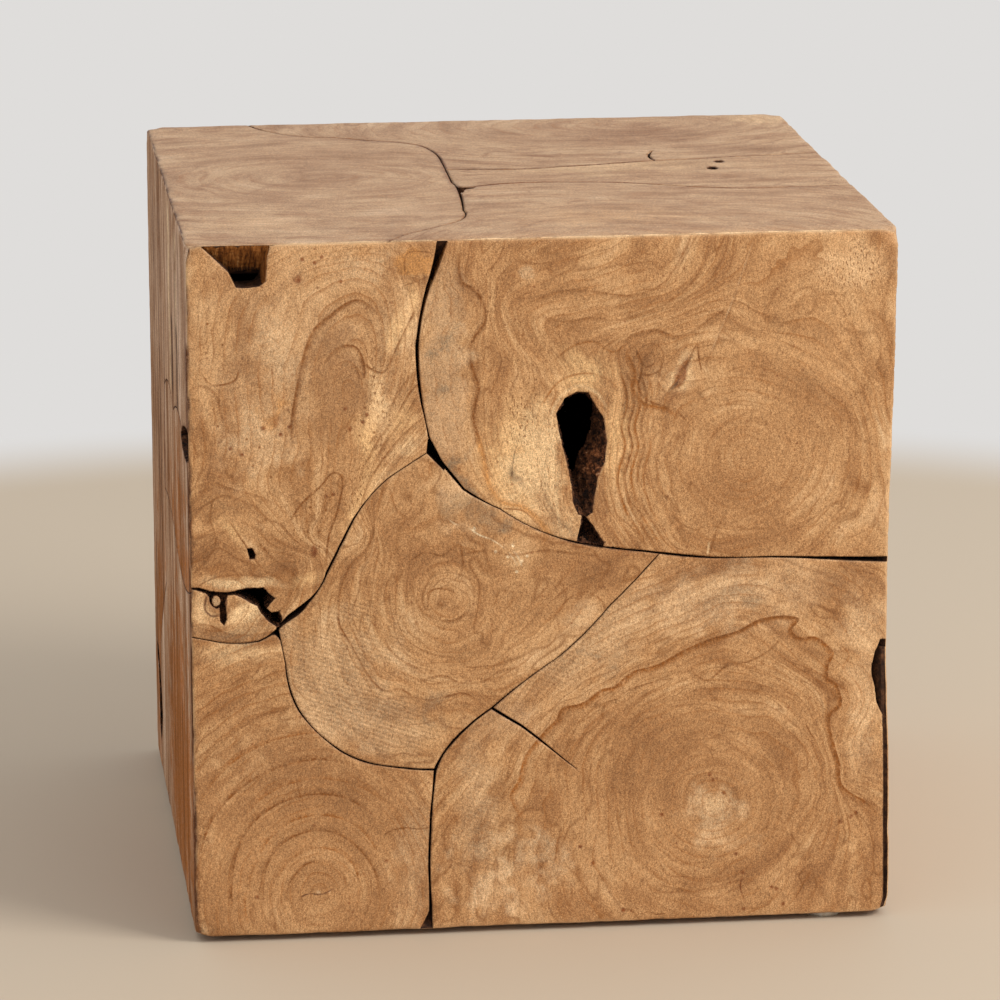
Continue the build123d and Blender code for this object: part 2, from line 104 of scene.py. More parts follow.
class Tint(Enum):
    """The colours that occur in and on the wood, as sRGB hex; the top's and the side's also hold some painted
    sheen.
    """

    HEART_DARK = "875a35"
    HEART = "ad7d50"
    HEART_LIGHT = "c79969"
    HEART_PALE = "dfba8e"
    LINE = "7a4719"
    LINE_ORANGE = "925822"
    ORANGE = "c38a50"
    GOLD = "ecc088"
    CREAM = "ecc796"
    PALE = "cfaa80"
    SAP = "bd9973"
    SAP_PALE = "dcb98f"
    GREY = "937a5e"
    DARK_GREY = "513d2b"
    RED_BROWN = "7a431f"
    DEEP_BROWN = "5b3520"
    BARK = "2a1910"
    WHITE = "e8cfa8"
    # The top's tints are greyer than the front's: partly dust from sanding, partly a painted sheen
    TOP_DARK = "866040"
    TOP_GREY = "a98361"
    TOP_LIGHT = "b9946e"
    TOP_PALE = "caa884"
    # The side's tints, laid in patches on the left side, make it greyer and paler high up and browner low
    # down: partly the wood's own colour, partly a painted sheen on its upper part
    SIDE_DARK = "5f3a22"
    SIDE_GREY = "d9bfa9"
    SIDE_BROWN = "9c5a18"
    SIDE_BODY = "ab8464"
    SIDE_LIGHT = "c09d80"

    @property
    def linear(self) -> Colour:
        """The tint in linear light."""
        return to_linear(self.value)


class Mark(Enum):
    """What a patch does to the wood under it."""

    TINT = "tint"
    SAWN = "sawn"
    POROUS = "porous"
    CALM = "calm"


class Finish(Enum):
    """The finishes of a slice, in the order of its material slots."""

    SKIN = 0
    WALL = 1
    BARK = 2
    FIBRE = 3


def smooth(x: np.ndarray) -> np.ndarray:
    """Ease a value from 0 to 1, held at both ends."""
    x = np.clip(x, 0, 1)
    return x * x * (3 - 2 * x)


def curve(points: Points, step: float) -> np.ndarray:
    """Run a smooth line through points.

    Args:
        points: The points that the line passes through.
        step: The spacing of the samples in millimetres.

    Returns:
        The samples, one row each.
    """
    knots = np.array(points, float)
    knots = np.vstack([2 * knots[0] - knots[1], knots, 2 * knots[-1] - knots[-2]])
    rows = []
    for a, b, c, d in zip(knots, knots[1:], knots[2:], knots[3:]):
        count = max(int(np.linalg.norm(c - b) / step), 1)
        t = np.arange(count)[:, None] / count
        rows.append(0.5 * (2 * b + (c - a) * t + (2 * a - 5 * b + 4 * c - d) * t**2
                           + (3 * b - a - 3 * c + d) * t**3))
    return np.vstack([*rows, knots[-2:-1]])


def across(directions: np.ndarray) -> np.ndarray:
    """Turn directions a quarter to the left and make each one unit long."""
    turned = np.column_stack([-directions[:, 1], directions[:, 0]])
    return turned / np.maximum(np.linalg.norm(turned, axis=1), TINY)[:, None]


def signed_distance(spots: np.ndarray, line: np.ndarray) -> tuple[np.ndarray, np.ndarray]:
    """Measure how far spots lie from a line, and where along it they are nearest.

    Args:
        spots: Places, one row each.
        line: The line's points in order.

    Returns:
        Distances, positive on the left of the line's direction, and places from 0 to 1.
    """
    best = np.full(len(spots), np.inf)
    side = np.ones(len(spots))
    reached = np.zeros(len(spots))
    for i, (a, b) in enumerate(zip(line, line[1:])):
        along = b - a
        t = np.clip(((spots - a) @ along) / max(along @ along, TINY**2), 0, 1)
        gap = spots - (a + t[:, None] * along)
        far = np.hypot(gap[:, 0], gap[:, 1])
        closer = far < best
        best[closer] = far[closer]
        reached[closer] = (i + t[closer]) / (len(line) - 1)
        side[closer] = np.sign(along[0] * gap[closer, 1] - along[1] * gap[closer, 0])
    return best * np.where(side == 0, 1, side), reached


class Grain:
    """Seeded random unevenness over a face."""

    SIZE = 256
    START = 64
    # Each finer layer reads the lattice from another place
    LAYER_SHIFT = 37.0

    def __init__(self, seed: int) -> None:
        """Fill the lattice from a fixed seed."""
        self.lattice = np.random.default_rng(seed).random((self.SIZE, self.SIZE))

    def at(self, spots: np.ndarray, size: float, octaves: int = 1) -> np.ndarray:
        """Read the unevenness.

        Args:
            spots: Places in millimetres, one row each.
            size: The width of the largest lumps in millimetres.
            octaves: How many finer layers are added, each half as large and half as strong.

        Returns:
            Values about 0, mostly within -1 and 1.
        """
        total = np.zeros(len(spots))
        for layer in range(octaves):
            place = spots * 2**layer / size + self.LAYER_SHIFT * layer + self.START
            cell = np.floor(place).astype(int)
            t = smooth(place - cell)
            x, y = cell[:, 0] % self.SIZE, cell[:, 1] % self.SIZE
            x1, y1 = (x + 1) % self.SIZE, (y + 1) % self.SIZE
            low = self.lattice[x, y] * (1 - t[:, 0]) + self.lattice[x1, y] * t[:, 0]
            high = self.lattice[x, y1] * (1 - t[:, 0]) + self.lattice[x1, y1] * t[:, 0]
            total += (2 * (low * (1 - t[:, 1]) + high * t[:, 1]) - 1) / 2**layer
        return total


@dataclass(frozen=True)
class Uneven:
    """A share that varies over a face.

    It has a mean, a spread about it, the width of its lumps in millimetres, their layers and its most.
    """

    mean: float
    spread: float
    size: float
    octaves: int
    most: float

    def over(self, grain: Grain, spots: np.ndarray) -> np.ndarray:
        """Give the share at each spot, from 0 to its most."""
        return np.clip(self.mean + self.spread * grain.at(spots, self.size, self.octaves), 0, self.most)


@dataclass(frozen=True)
class Ring:
    """A growth line: its age in millimetres of growth and the points it runs through."""

    age: float
    points: Points


@dataclass(frozen=True)
class Streak:
    """A drawn line of colour that fades over its own distance on either side."""

    tint: Tint
    points: Points
    left: float = 0.8
    right: float = 0.8
    strength: float = 0.75
    ragged: float = 0.5

    STEP = 1.5
    # Either end fades over this share of the length, and starts this share of the fade in
    TAPER = 0.12
    START = 0.15
    # Streaks are laid on this much stronger than they are drawn, and broken by lumps of this width
    BOOST = 1.15
    BREAKS = 7.0

    def amount(self, spots: np.ndarray, grain: Grain) -> tuple[np.ndarray, np.ndarray]:
        """Work out how strongly the streak covers what lies near it.

        Args:
            spots: Places on the face.
            grain: The unevenness that breaks it up.

        Returns:
            Which spots are near, and the cover of those from 0 to 1.
        """
        line = curve(self.points, self.STEP)
        reach = max(self.left, self.right) + 1
        near = np.all((spots > line.min(0) - reach) & (spots < line.max(0) + reach), axis=1)
        gap, reached = signed_distance(spots[near], line)
        taper = smooth(np.minimum(reached, 1 - reached) / self.TAPER + self.START)
        fade = np.where(gap > 0, gap / self.left, -gap / self.right)
        broken = 1 + self.ragged * grain.at(spots[near], self.BREAKS, 2)
        return near, np.clip(self.BOOST * self.strength * broken, 0, 1) * smooth(1 - fade) * taper


@dataclass(frozen=True)
class Patch:
    """A soft-edged patch: its centre, its reach both ways, its turn in degrees and its strength."""

    centre: Spot
    reach: Spot
    tint: Tint = Tint.HEART
    turn: float = 0.0
    strength: float = 0.5
    mark: Mark = Mark.TINT
    crisp: float = 0.0
    ragged: float = 0.35

    def amount(self, spots: np.ndarray, shift: np.ndarray) -> np.ndarray:
        """Work out how strongly the patch covers each spot.

        Args:
            spots: Places on the face.
            shift: How the outline strays at each place, in shares of the patch's lesser reach.

        Returns:
            The cover from 0 to 1.
        """
        place = spots + shift * self.ragged * min(self.reach) - self.centre
        turn = math.radians(self.turn)
        along = place[:, 0] * math.cos(turn) + place[:, 1] * math.sin(turn)
        aside = place[:, 1] * math.cos(turn) - place[:, 0] * math.sin(turn)
        far = np.hypot(along / self.reach[0], aside / self.reach[1])
        return self.strength * smooth((1 - far) / (1 - self.crisp))


def dots(tint: Tint, reach: float, *places: Spot) -> tuple[Patch, ...]:
    """Draw small crisp specks of one colour.

    Args:
        tint: Their colour.
        reach: Their radius in millimetres.
        places: Their centres.

    Returns:
        A patch for each.
    """
    return tuple(Patch(place, (reach, reach), tint, 0.0, 0.9, crisp=0.3, ragged=0.25) for place in places)


@dataclass(frozen=True)
class Figure:
    """The figure of one slice: its heart, and the growth lines, streaks and patches drawn over it."""

    heart: Spot
    rings: tuple[Ring, ...] = ()
    streaks: tuple[Streak, ...] = ()
    patches: tuple[Patch, ...] = ()
    stretch: tuple[float, float] = (1.0, 1.0)
    sway: float = 1.0
    seed: int = 1

    RING_STEP = 11.0
    SCALE = 100.0
    STIFFNESS = 2e-4
    CHUNK = 8000
    # How far growth wanders and over what width, both in millimetres, and in how many layers
    WANDER = ((5.0, 70, 1), (1.7, 22, 1), (0.7, 8, 2))
    # Slices start this many millimetres of growth apart, so that no two are alike
    AGE_STEP = 137.0
    COLOUR_SEED = 500
    OUTLINE_LUMP = 9.0
    ELSEWHERE = 999.0

    def growth(self, spots: np.ndarray) -> np.ndarray:
        """Work out the age of the wood.

        Args:
            spots: Places on the face.

        Returns:
            Millimetres of growth from the heart, with a start of the slice's own.
        """
        if self.rings:
            age = self._through_rings(spots)
        else:
            age = np.hypot(*((spots - self.heart) * self.stretch).T)
        grain = Grain(self.seed)
        wander = sum(far * grain.at(spots, size, octaves) for far, size, octaves in self.WANDER)
        return age + self.sway * wander + self.AGE_STEP * self.seed

    def _through_rings(self, spots: np.ndarray) -> np.ndarray:
        """Interpolate the age between the growth lines with a thin plate.

        Args:
            spots: Places on the face.

        Returns:
            Millimetres of growth from the heart.
        """
        known = [np.array([self.heart])]
        ages = [np.zeros(1)]
        for ring in self.rings:
            line = curve(ring.points, self.RING_STEP)
            known.append(line)
            ages.append(np.full(len(line), ring.age))
        places = np.vstack(known) / self.SCALE
        values = np.concatenate(ages)
        count = len(places)
        flat = np.hstack([np.ones((count, 1)), places])
        system = np.zeros((count + 3, count + 3))
        system[:count, :count] = self._plate(places, places) + self.STIFFNESS * np.eye(count)
        system[:count, count:] = flat
        system[count:, :count] = flat.T
        weights = np.linalg.lstsq(system, np.concatenate([values, np.zeros(3)]), rcond=None)[0]
        asked = spots / self.SCALE
        result = np.empty(len(asked))
        for start in range(0, len(asked), self.CHUNK):
            part = asked[start:start + self.CHUNK]
            basis = np.hstack([self._plate(part, places), np.ones((len(part), 1)), part])
            result[start:start + self.CHUNK] = basis @ weights
        return result

    @staticmethod
    def _plate(a: np.ndarray, b: np.ndarray) -> np.ndarray:
        """Give the thin plate's bending at places of one set due to places of another."""
        square = ((a[:, None, :] - b[None, :, :]) ** 2).sum(-1)
        return 0.5 * square * np.log(np.maximum(square, TINY**2))

    def colour(self, spots: np.ndarray) -> tuple[np.ndarray, np.ndarray]:
        """Lay the patches and streaks over one another.

        Args:
            spots: Places on the face.

        Returns:
            Linear colour with its cover as alpha, and the marks: sawn, porous, calm.
        """
        grain = Grain(self.seed + self.COLOUR_SEED)
        shift = np.stack([grain.at(spots + away, self.OUTLINE_LUMP, 3) for away in (0.0, self.ELSEWHERE)], 1)
        cover = np.zeros((len(spots), 4))
        kinds = (Mark.SAWN, Mark.POROUS, Mark.CALM)
        marks = np.zeros((len(spots), len(kinds)))
        for patch in self.patches:
            amount = patch.amount(spots, shift)
            if patch.mark is Mark.TINT:
                self.lay(cover, amount, patch.tint)
            else:
                column = kinds.index(patch.mark)
                marks[:, column] = np.maximum(marks[:, column], amount)
        for streak in self.streaks:
            near, amount = streak.amount(spots, grain)
            self.lay(cover, amount, streak.tint, near)
        return cover, marks

    @staticmethod
    def lay(cover: np.ndarray, amount: np.ndarray, tint: Tint,
            where: np.ndarray | slice = slice(None)) -> None:
        """Lay one colour over what is there already.

        Args:
            cover: Linear colour with its cover as alpha, which is changed.
            amount: The cover of the new colour from 0 to 1.
            tint: The new colour.
            where: The rows of cover that it is laid on.
        """
        under = cover[where]
        alpha = amount + under[:, 3] * (1 - amount)
        part = np.divide(amount, alpha, out=np.zeros_like(alpha), where=alpha > TINY)[:, None]
        under[:, :3] = under[:, :3] * (1 - part) + np.array(tint.linear[:3]) * part
        under[:, 3] = alpha
        cover[where] = under


@dataclass(frozen=True)
class Void:
    """A box of a face in which the walls are broken up: corners, finish and roughness in millimetres."""

    low: Spot
    high: Spot
    finish: Finish = Finish.BARK
    rough: float = 1.2
    rim: float = 0.3

    # The longest edge of the broken walls, and the widths of their lumps
    GRAIN = 1.3
    LUMP = 5.5
    FINE_LUMP = 1.6
    FINE_SHARE = 0.35

    def holds(self, u: float, v: float) -> bool:
        """Say whether a place lies in the box."""
        return self.low[0] <= u <= self.high[0] and self.low[1] <= v <= self.high[1]

    def lumps(self, place: Vector) -> float:
        """Give the height of the broken surface at a place, mostly within -1 and 1."""
        fine = noise.noise(place / self.FINE_LUMP)
        return noise.fractal(place / self.LUMP, 0.7, 2.1, 4) + self.FINE_SHARE * fine


@dataclass(frozen=True)
class Panel:
    """One face of the cube: its lower left corner seen from outside, and its directions."""

    corner: tuple[float, float, float]
    along: tuple[float, float, float]
    up: tuple[float, float, float]

    def axes(self) -> np.ndarray:
        """Give the directions of u, v and w, one row each."""
        along, up = np.array(self.along), np.array(self.up)
        return np.stack([along, up, np.cross(along, up)])

    def to_face(self, points: np.ndarray) -> np.ndarray:
        """Turn places in the model into face coordinates."""
        return (points / MM - self.corner) @ self.axes().T

    def to_model(self, places: np.ndarray) -> np.ndarray:
        """Turn face coordinates into places in the model."""
        return (places @ self.axes() + self.corner) * MM


@dataclass(frozen=True)
class Wear:
    """How use has rounded the cube: everything moves inwards, the same for pieces that meet.

    All lengths are millimetres: the cube's edge and the height of its base, and then the depth and reach of
    the rounding of the edges, of the bow of the front's right edge and of the rounding of the corners.
    """

    edge: float
    base: float
    rounding: float = 0.55
    reach: float = 2.6
    bow: float = 3.6
    bow_reach: float = 26.0
    corner: float = 1.6
    corner_reach: float = 11.0

    SEED = 77
    # The share of the full rounding that an edge has along itself
    WORN = Uneven(0.45, 0.9, 14.0, 3, 1.6)
    # The share of the rounding that each of an edge's two faces takes
    FACE_SHARE = 0.7
    # Places in the unevenness that set the edges apart from one another
    APART = (500.0, 300.0, 50.0)
    # The bow's share of its full depth at shares of the height
    BOW_HEIGHTS = (0, 0.025, 0.25, 0.37, 0.55, 0.75, 1)
    BOW_SHARES = (0, 0.05, 0.42, 1, 1, 0.42, 0)

    def apply(self, points: np.ndarray) -> np.ndarray:
        """Move places to where wear has left them.

        Args:
            points: Places of the model in millimetres.

        Returns:
            The same places, moved inwards near edges and corners.
        """
        half = self.edge / 2
        middle = np.array([0, 0, self.base + half])
        place = points - middle
        moved = points.copy()
        outer = np.maximum(half - np.abs(place), 0)
        for axis in range(3):
            a, b = (i for i in range(3) if i != axis)
            depth = self._edge_depth(place, outer, axis, a, b)
            for side in (a, b):
                moved[:, side] -= np.sign(place[:, side]) * depth * self.FACE_SHARE
        corner = np.linalg.norm(outer, axis=1)
        pull = self.corner * smooth(1 - corner / self.corner_reach)
        moved -= np.sign(place) * pull[:, None]
        height = np.clip((points[:, 2] - self.base) / self.edge, 0, 1)
        lean = np.interp(height, self.BOW_HEIGHTS, self.BOW_SHARES)
        front = np.exp(-(((points[:, 1] + half) / self.bow_reach) ** 2))
        side = np.exp(-(((half - points[:, 0]) / self.bow_reach) ** 2))
        moved[:, 0] -= self.bow * lean * front * side
        return np.clip(moved, middle - [half, half, half], middle + [half, half, half])

    def _edge_depth(self, place: np.ndarray, outer: np.ndarray, axis: int, a: int, b: int) -> np.ndarray:
        """Work out how deep wear has rounded the edges along one axis.

        Args:
            place: Places from the cube's middle.
            outer: How far each place is inside the faces, by axis.
            axis: The axis along which the edges run.
            a: The first of the other two axes.
            b: The second.

        Returns:
            The depth at each place.
        """
        far = np.hypot(outer[:, a], outer[:, b])
        near = np.exp(-((far / self.reach) ** 2))
        first, second, third = self.APART
        run = np.stack([place[:, axis] + first * np.sign(place[:, a]),
                        second * np.sign(place[:, b]) + third * axis], 1)
        return self.rounding * self.WORN.over(Grain(self.SEED), run) * near


@dataclass
class Slice:
    """One slice of a slab: its node, its figure and the voids that break it."""

    node: str
    figure: Figure
    voids: tuple[Void, ...] = ()


@dataclass
class Slab:
    """Slices that share one face of the cube.

    All lengths are millimetres: the skin's step, the radius of its outer arris, how far it drops beside a
    seam and within what reach, the width of a seam's stain, and the widths of the stains of the mitres at the
    left, right, lower and upper edge of the face, with 0 for none.
    """

    slot: str
    panel: Panel
    slices: tuple[Slice, ...]
    materials: tuple[bpy.types.Material, ...]
    wear: Wear
    step: float = 2.0
    arris: float = 1.5
    seam_drop: float = 0.45
    seam_reach: float = 0.9
    seam_stain: float = 0.8
    mitre_stain: tuple[float, float, float, float] = (0.0, 0.0, 0.0, 0.0)

    # A face whose normal points out by more than this, no deeper than the skin, is outer surface
    FLAT = 0.5
    SKIN_DEPTH = 2.0
    # Rim places above this depth lie beside a seam, and the others on the arris
    SEAM_DEPTH = -0.05
    # At most this many rounds of halving refine the rim and the walls of a void
    RIM_ROUNDS = 9
    WALL_ROUNDS = 5
    # Rows of skin beside the rim, the strays of the grid in steps and how near to the rim a place may lie
    ROWS = (0.45, 1.0)
    STRAY = 0.25
    CLOSEST = 0.3
    # A patch whose lesser reach is under this many steps gets rings of places of its own
    SMALL = 2.2
    RING_PLACES = 8
    EDGE_SEED = 40
    # How far the drop beside a seam varies, over what width, and its least and most
    DROP_SPREAD = 0.6
    DROP_LUMP = 6.0
    DROPS = (0.05, 0.7)
    # How much of the stain shows along seams and mitres, and how steeply a mitre's stain sets in
    SEAM_SHOWS = Uneven(0.75, 0.5, 5.0, 2, 0.95)
    MITRE_SHOWS = Uneven(0.75, 1.2, 16.0, 3, 0.97)
    MITRE_STEEP = 1.8
    # The pale edges, partly wear and partly a painted highlight on the arris and on a seam's rim, start this
    # far inside the face's edge and fade over this width, and beside a seam over the last
    PALE_EDGE_FROM = 0.3
    PALE_EDGE_WIDTH = 1.6
    PALE_EDGE_SEAM = 1.2

    def build(self) -> None:
        """Make every slice's piece and let it stand for its node."""
        for one in self.slices:
            self._piece(one)

    def _piece(self, one: Slice) -> None:
        """Rebuild one slice around its node's walls."""
        walls, finishes, rim = self._walls(one)
        skin, faces, shared = self._skin(one.figure, rim)
        values, faces, kinds = self._join(walls, finishes, skin, faces, shared)
        mesh = bpy.data.meshes.new(one.node + "_skin")
        model = self.wear.apply(self.panel.to_model(values["at"]) / MM) * MM
        mesh.from_pydata(model.tolist(), [], faces.tolist())
        for material in self.materials:
            mesh.materials.append(material)
        mesh.polygons.foreach_set("material_index", kinds.astype(np.int32))
        mesh.polygons.foreach_set("use_smooth", kinds == Finish.SKIN.value)
        for name, kind, key in (("growth", "FLOAT", "value"), ("ray", "FLOAT_VECTOR", "vector"),
                                ("tint", "FLOAT_COLOR", "color"), ("marks", "FLOAT_COLOR", "color")):
            attribute = mesh.attributes.new(name, kind, "POINT")
            attribute.data.foreach_set(key, values[name].astype(np.float32).ravel())
        mesh.update()
        piece = bpy.data.objects.new(one.node + "_wood", mesh)
        bpy.context.scene.collection.objects.link(piece)
        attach(piece, BODY)
        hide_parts(one.node)
        LOG.info("%s: %d triangles", piece.name, len(faces))

    def _walls(self, one: Slice) -> tuple[bmesh.types.BMesh, list[int], list[bmesh.types.BMEdge]]:
        """Take the node without its outer surface, refine it and break up its voids.

        Args:
            one: The slice.

        Returns:
            The walls in face coordinates, each wall face's finish, and the open rim's edges.
        """
        work = bmesh.new()
        work.from_mesh(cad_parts[one.node].data)
        places = self.panel.to_face(np.array([v.co for v in work.verts]))
        for vertex, place in zip(work.verts, places):
            vertex.co = place
        bmesh.ops.remove_doubles(work, verts=work.verts, dist=WELD)
        work.normal_update()
        outer = [f for f in work.faces
                 if f.normal.z > self.FLAT and min(v.co.z for v in f.verts) > -self.SKIN_DEPTH]
        bmesh.ops.delete(work, geom=outer, context="FACES")
        for _ in range(self.RIM_ROUNDS):
            long = [e for e in work.edges if e.is_boundary and e.calc_length() > self.step]
            if not long:
                break
            bmesh.ops.subdivide_edges(work, edges=long, cuts=1)
        bmesh.ops.triangulate(work, faces=work.faces)
        for void in one.voids:
            self._break_up(work, void)
        work.verts.index_update()
        work.faces.index_update()
        finishes = [Finish.WALL.value] * len(work.faces)
        for void in one.voids:
            for face in work.faces:
                middle = face.calc_center_median()
                if void.holds(middle.x, middle.y):
                    finishes[face.index] = void.finish.value
        rim = [e for e in work.edges if e.is_boundary]
        return work, finishes, rim

    def _break_up(self, work: bmesh.types.BMesh, void: Void) -> None:
        """Refine the walls inside a void and roughen them.

        Args:
            work: The slice's walls in face coordinates, which are changed.
            void: The void.
        """
        for corner, sides in ((void.low, -1), (void.high, 1)):
            for axis in range(2):
                spot, normal = Vector((*corner, 0)), Vector((1 - axis, axis, 0)) * sides
                whole = [*work.verts, *work.edges, *work.faces]
                bmesh.ops.bisect_plane(work, geom=whole, dist=WELD, plane_co=spot, plane_no=normal)
        bmesh.ops.triangulate(work, faces=work.faces)
        for _ in range(self.WALL_ROUNDS):
            long = [e for e in work.edges if e.calc_length() > void.GRAIN
                    and all(void.holds(v.co.x, v.co.y) for v in e.verts)]
            if not long:
                break
            bmesh.ops.subdivide_edges(work, edges=long, cuts=1)
            bmesh.ops.triangulate(work, faces=work.faces)
        work.normal_update()
        moves = {}
        for vertex in work.verts:
            if not void.holds(vertex.co.x, vertex.co.y):
                continue
            if vertex.is_boundary:
                flat = Vector((vertex.normal.x, vertex.normal.y, 0))
                moves[vertex] = flat * void.rim * void.lumps(vertex.co)
            else:
                moves[vertex] = vertex.normal * void.rough * void.lumps(vertex.co)
        for vertex, move in moves.items():
            vertex.co += move

    def _skin(self, figure: Figure, rim: list[bmesh.types.BMEdge]) -> tuple[dict, np.ndarray, np.ndarray]:
        """Fill the open rim with a dense surface that carries the figure.

        Args:
            figure: The slice's figure.
            rim: The edges of the open rim.

        Returns:
            The values of each place by name, the triangles, and the number of the wall's vertex that each
            place shares, or -1 for none.
        """
        ring = list(dict.fromkeys(v for e in rim for v in e.verts))
        index = {v: i for i, v in enumerate(ring)}
        edge = np.array([v.co[:] for v in ring])
        links = np.array([[index[v] for v in e.verts] for e in rim])
        spots, faces, origin = self._fill(figure, edge[:, :2], links)
        on_rim = (origin >= 0) & (origin < len(ring))
        shared = np.full(len(spots), -1)
        shared[on_rim] = np.array([v.index for v in ring])[origin[on_rim]]
        u, v = spots.T
        borders = np.stack([u, self.wear.edge - u, v, self.wear.edge - v])
        seam = self._near(spots, edge[edge[:, 2] > self.SEAM_DEPTH, :2])
        short = np.clip(self.arris - borders.min(0), 0, self.arris)
        depth = -(self.arris - np.sqrt(self.arris**2 - short**2))
        depth[on_rim] = edge[origin[on_rim], 2]
        grain = Grain(figure.seed + self.EDGE_SEED)
        drop = self.seam_drop * (1 + self.DROP_SPREAD * grain.at(spots, self.DROP_LUMP, 2))
        depth -= np.clip(drop, *self.DROPS) * np.clip(1 - seam / self.seam_reach, 0, 1) ** 2
        values = {"at": np.column_stack([spots, depth]), **self._paint(figure, spots, seam, borders)}
        return values, faces, shared

    def _fill(self, figure: Figure, edge: np.ndarray, links: np.ndarray) -> tuple[np.ndarray, ...]:
        """Triangulate the inside of the rim.

        Args:
            figure: The slice's figure.
            edge: The rim's places on the face.
            links: The pairs of rim places that an edge joins.

        Returns:
            The skin's places, its triangles, and the number that each place had in the rim, or past it.
        """
        spots = np.vstack([edge, self._spread(figure, edge, links)])
        made = delaunay_2d_cdt([Vector(p) for p in spots], links.tolist(), [], 0, WELD, True)
        spots = np.array([p[:] for p in made[0]])
        origin = np.array([ids[0] if ids else -1 for ids in made[3]])
        faces = np.array([f for f in made[2] if len(f) == 3])
        return spots, faces[self._inside(spots[faces].mean(1), edge[links])], origin

    def _paint(self, figure: Figure, spots: np.ndarray, seam: np.ndarray, borders: np.ndarray) -> dict:
        """Colour the skin, stain it along seams and mitres, and paint its edges pale, partly as wear and
        partly as a painted highlight.

        Args:
            figure: The slice's figure.
            spots: Places on the face.
            seam: How far each place is from a seam.
            borders: How far each place is from the face's left, right, lower and upper edge, one row each.

        Returns:
            What the shader reads at each place, by the attribute's name.
        """
        grain = Grain(figure.seed + self.EDGE_SEED)
        cover, marks = figure.colour(spots)
        stain = smooth(1 - seam / self.seam_stain) * self.SEAM_SHOWS.over(grain, spots)
        figure.lay(cover, stain, Tint.DEEP_BROWN)
        clean = 1 - stain
        for width, inwards in zip(self.mitre_stain, borders):
            if width:
                crack = smooth(self.MITRE_STEEP * (1 - inwards / width)) * self.MITRE_SHOWS.over(grain, spots)
                figure.lay(cover, crack, Tint.DEEP_BROWN)
                clean *= 1 - crack
        heart = spots - figure.heart
        ray = heart / np.maximum(np.hypot(*heart.T), TINY)[:, None]
        # Pale edges: partly wear, partly a painted highlight on every arris and on the rims beside seams
        by_edge = smooth(1 - (borders.min(0) - self.PALE_EDGE_FROM) / self.PALE_EDGE_WIDTH)
        by_seam = 0.5 * np.clip(1 - seam / self.PALE_EDGE_SEAM, 0, 1)
        return {
            "growth": figure.growth(spots),
            "ray": np.column_stack([ray, np.zeros(len(ray))]),
            "tint": cover,
            "marks": np.column_stack([marks[:, :2], clean * (by_edge + by_seam), marks[:, 2]]),
        }

    def _spread(self, figure: Figure, edge: np.ndarray, links: np.ndarray) -> np.ndarray:
        """Choose the places inside the rim: rows along it, a grid, rows along streaks and rings about dots.

        Args:
            figure: The slice's figure.
            edge: The rim's places on the face.
            links: The pairs of rim places that an edge joins.

        Returns:
            The places, one row each.
        """
        segments = edge[links]
        middle = segments.mean(1)
        side = across(segments[:, 1] - segments[:, 0])
        rows = [middle + turn * far * side for far in self.ROWS for turn in (-1, 1)]
        spots = np.vstack([*rows, *self._streak_rows(figure), *self._dot_rings(figure)])
        low, high = edge.min(0), edge.max(0)
        count = np.maximum(((high - low) / self.step).astype(int), 1)
        grid = np.meshgrid(*(np.linspace(a, b, n + 1) for a, b, n in zip(low, high, count)))
        grid = np.stack(grid, -1).reshape(-1, 2)
        grid += np.random.default_rng(figure.seed).uniform(-self.STRAY, self.STRAY, grid.shape) * self.step
        spots = np.vstack([spots, grid[self._near(grid, spots) > 0.5 * self.step]])
        spots = spots[self._inside(spots, segments)]
        return spots[self._near(spots, np.vstack([edge, middle])) > self.CLOSEST]

    def _streak_rows(self, figure: Figure) -> list[np.ndarray]:
        """Choose rows of places along each streak of a figure and beside it."""
        rows = []
        for streak in figure.streaks:
            line = curve(streak.points, min(1.0, self.step))
            normal = across(np.gradient(line, axis=0))
            for far in (0, streak.left, -streak.right, streak.left / 2, -streak.right / 2):
                if abs(far) < self.step:
                    rows.append(line + normal * far)
        return rows

    def _dot_rings(self, figure: Figure) -> list[np.ndarray]:
        """Choose the centre and two rings of places for each small patch of a figure."""
        turns = np.linspace(0, 2 * math.pi, self.RING_PLACES, endpoint=False)
        circle = np.column_stack([np.cos(turns), np.sin(turns)])
        rings = []
        for patch in figure.patches:
            if patch.mark is Mark.TINT and min(patch.reach) < self.SMALL * self.step:
                reach = np.array(patch.reach)
                ring = np.vstack([np.zeros((1, 2)), 0.5 * reach * circle, reach * circle])
                rings.append(ring + patch.centre)
        return rings

    @staticmethod
    def _inside(spots: np.ndarray, segments: np.ndarray) -> np.ndarray:
        """Find what lies inside closed outlines.

        Args:
            spots: Places on the face.
            segments: The two ends of each straight piece of the outlines.

        Returns:
            Whether each spot lies inside.
        """
        inside = np.zeros(len(spots), bool)
        for (ax, ay), (bx, by) in segments:
            if ay == by:
                continue
            crosses = (ay > spots[:, 1]) != (by > spots[:, 1])
            inside ^= crosses & (spots[:, 0] < (bx - ax) * (spots[:, 1] - ay) / (by - ay) + ax)
        return inside

    @staticmethod
    def _near(spots: np.ndarray, others: np.ndarray) -> np.ndarray:
        """Measure the distance from each spot to the nearest of the others.

        Args:
            spots: Places on the face.
            others: The places they are measured to, none or more.

        Returns:
            The distances, without end where there are no others.
        """
        if not len(others):
            return np.full(len(spots), np.inf)
        tree = KDTree(len(others))
        for i, other in enumerate(others):
            tree.insert((*other, 0), i)
        tree.balance()
        return np.array([tree.find((*spot, 0))[2] for spot in spots])

